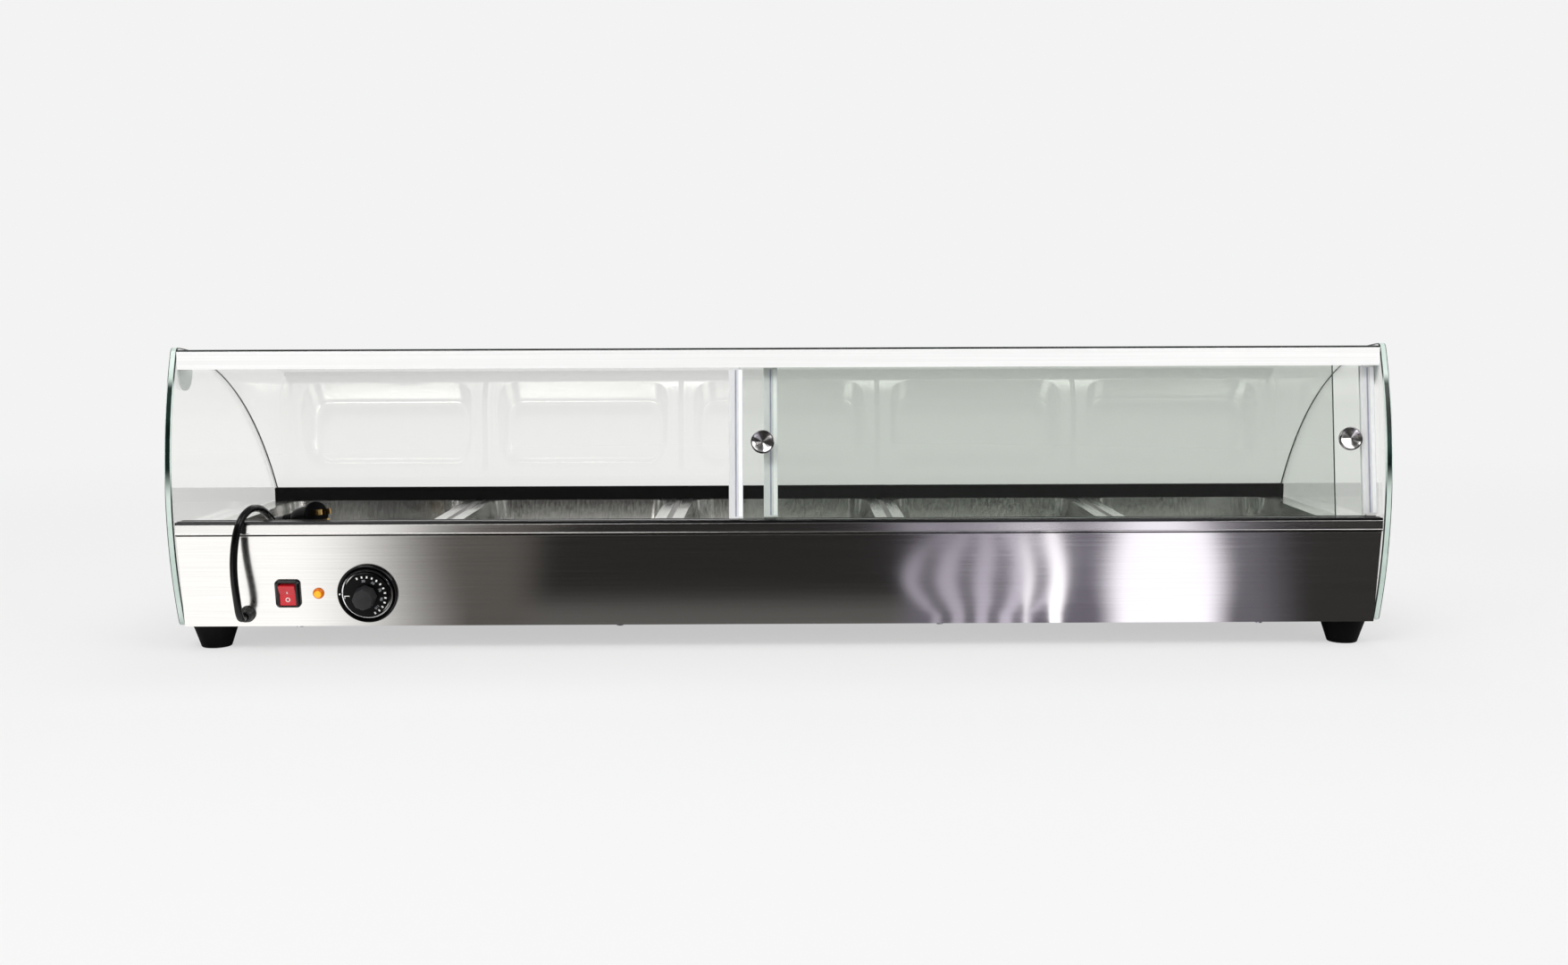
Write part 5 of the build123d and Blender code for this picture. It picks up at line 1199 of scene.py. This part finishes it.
    def ring_of_marks(self):
        """Node tree: bars set round an arc, each turned to the centre."""
        tree = bpy.data.node_groups.new("ring_of_marks", "GeometryNodeTree")
        for name, kind in (
            ("Count", "Int"), ("Radius", "Float"), ("First angle", "Float"), ("Step", "Float"),
            ("Length", "Float"), ("Width", "Float"), ("Height", "Float"), ("Ink", "Material"),
        ):
            tree.interface.new_socket(name, in_out="INPUT", socket_type="NodeSocket" + kind)
        tree.interface.new_socket("Geometry", in_out="OUTPUT", socket_type="NodeSocketGeometry")
        given = add(tree, "NodeGroupInput").outputs
        row = add(tree, "GeometryNodeMeshLine", {"Count": given["Count"]})
        index = add(tree, "GeometryNodeInputIndex")
        turn = add(tree, "ShaderNodeMath", {
            0: index, 1: given["Step"], 2: given["First angle"]}, operation="MULTIPLY_ADD")
        arm = add(tree, "ShaderNodeCombineXYZ", {"X": given["Radius"]})
        spot = add(tree, "ShaderNodeVectorRotate", {"Vector": arm, "Angle": turn}, rotation_type="Z_AXIS")
        placed = add(tree, "GeometryNodeSetPosition", {"Geometry": row, "Position": spot})
        size = add(tree, "ShaderNodeCombineXYZ", {
            "X": given["Length"], "Y": given["Width"], "Z": given["Height"]})
        bar = add(tree, "GeometryNodeMeshCube", {"Size": size})
        facing = add(tree, "ShaderNodeCombineXYZ", {"Z": turn})
        bars = add(tree, "GeometryNodeInstanceOnPoints", {
            "Points": placed, "Instance": bar, "Rotation": facing})
        real = add(tree, "GeometryNodeRealizeInstances", {"Geometry": bars})
        inked = add(tree, "GeometryNodeSetMaterial", {"Geometry": real, "Material": given["Ink"]})
        add(tree, "NodeGroupOutput", {"Geometry": inked})
        return tree


class CASE_OT_switch(bpy.types.Operator):
    """Rocker switch and pilot lamp"""

    bl_idname = "display_case.switch"
    bl_label = "Switch and lamp"

    # The rocker turns about a pin behind the panel. Its faces rise from the waist to each end.
    PIN_DEPTH = 1.5
    REST_TILT = math.radians(10.0)
    WAIST = 3.3
    FACE_RISE = math.atan2(6.0 - WAIST, 12.5)

    def execute(self, context):
        # Moulded nylon: black, with a soft line of light along its bevels.
        black = moulded_plastic("black_switch_frame", "050506", "0A0A0B", 0.25, 0.02, shine=0.3)
        # Clear red plastic: deep red, with a faint painted glow from within, as no lamp sits behind it.
        red = lit_plastic("red_rocker", "B81420", "E02834", 0.2)
        # Amber lens: dark orange round its rim, and bright where the lamp sits behind it.
        amber = lit_plastic("amber_lens", "B86008", "E87000", 0.28)
        core = lit_plastic("glowing_lamp", "F8A820", "FFA010", 0.5)
        # Printing ink: dull white.
        ink = moulded_plastic("white_switch_print", "EDEDEA", "F8F8F5", 0.5, 0.005)
        housing = clean_copy("switch_housing", "switch_frame", [black], 0.35)
        settle(housing, "case", "switch_black", "switch_housing")
        rocker = clean_copy("switch_rocker", "red_switch_rocker", [red], 0.5, 12.0)
        settle(rocker, "rocker", "rocker_red", "switch_rocker")
        self.make_marks(ink)
        self.make_lamp(amber, core)
        return {"FINISHED"}

    def make_lamp(self, amber, core):
        """Domed lens on a flange."""
        profile = [
            (0, -12), (4.8, -12), (4.8, 0), (6.5, 0), (6.5, 1.3), (6.1, 1.7), (5.9, 2.6), (5.2, 3.9),
            (4.2, 4.8, 1), (2.6, 5.3, 1), (1.0, 5.5, 1), (0, 5.5, 1),
        ]
        place = panel_place(PILOT_X, CONTROL_HEIGHT)
        lamp = turned("pilot_lamp_lens", profile, place, [amber, core], 24)
        settle(lamp, "case", "lamp_amber", "pilot_lens")

    def make_marks(self, ink):
        """A bar and a ring on the two faces of the tilted rocker."""
        place = panel_place(SWITCH_X, CONTROL_HEIGHT) @ Matrix.Translation((0, 0, -self.PIN_DEPTH))
        place = place @ Matrix.Rotation(self.REST_TILT, 4, "X")
        place = place @ Matrix.Translation((0, 0, self.PIN_DEPTH)) @ Matrix.Translation((0, 0, self.WAIST))
        upper = place @ Matrix.Rotation(self.FACE_RISE, 4, "X")
        lower = place @ Matrix.Rotation(-self.FACE_RISE, 4, "X")
        bm = bmesh.new()
        add_bar(bm, upper, (0, 3.0, 0.02), (1.3, 3.0, 0.16))
        settle(piece_from(bm, "on_mark", [ink]), "rocker", "rocker_red")
        circle = [(1.8, -0.06), (2.7, -0.06), (2.7, 0.1), (1.8, 0.1), (1.8, -0.06)]
        mark = turned("off_mark", circle, lower @ Matrix.Translation((0, -5.8, 0)), [ink], 32)
        settle(mark, "rocker", "rocker_red")


class CASE_OT_feet(bpy.types.Operator):
    """Tapered rubber feet"""

    bl_idname = "display_case.feet"
    bl_label = "Feet"

    def execute(self, context):
        # Moulded rubber: black and dull, with only a faint sheen on its rim.
        rubber = moulded_plastic("black_rubber_foot", "030304", "060607", 0.6, 0.05, shine=0.1)
        feet = clean_copy("feet", "rubber_feet", [rubber], 0.6, 40.0)
        settle(feet, "case", "foot_rubber", "feet")
        return {"FINISHED"}


OPERATORS = (
    CASE_OT_stage, CASE_OT_lead, CASE_OT_metalwork, CASE_OT_glazing, CASE_OT_dial, CASE_OT_switch,
    CASE_OT_feet,
)


class CASE_PT_pieces(bpy.types.Panel):
    """Lists the pieces of the display case"""

    bl_idname = "CASE_PT_pieces"
    bl_label = "Display case"
    bl_space_type = "VIEW_3D"
    bl_region_type = "UI"
    bl_category = "Display case"

    def draw(self, context):
        for group in (context.scene.display_case_sizes, context.scene.display_case_colours):
            for key in group.bl_rna.properties.keys():
                if key not in ("rna_type", "name"):
                    self.layout.prop(group, key)
        for operator in OPERATORS:
            self.layout.operator(operator.bl_idname)


CLASSES = (DisplayCaseSizes, DisplayCaseColours, *OPERATORS, CASE_PT_pieces)


def register():
    for cls in CLASSES:
        bpy.utils.register_class(cls)
    bpy.types.Scene.display_case_sizes = PointerProperty(type=DisplayCaseSizes)
    bpy.types.Scene.display_case_colours = PointerProperty(type=DisplayCaseColours)


def unregister():
    del bpy.types.Scene.display_case_sizes
    del bpy.types.Scene.display_case_colours
    for cls in reversed(CLASSES):
        bpy.utils.unregister_class(cls)


def main():
    register()
    for operator in OPERATORS:
        group, name = operator.bl_idname.split(".")
        getattr(getattr(bpy.ops, group), name)()


if __name__ == "__main__":
    main()
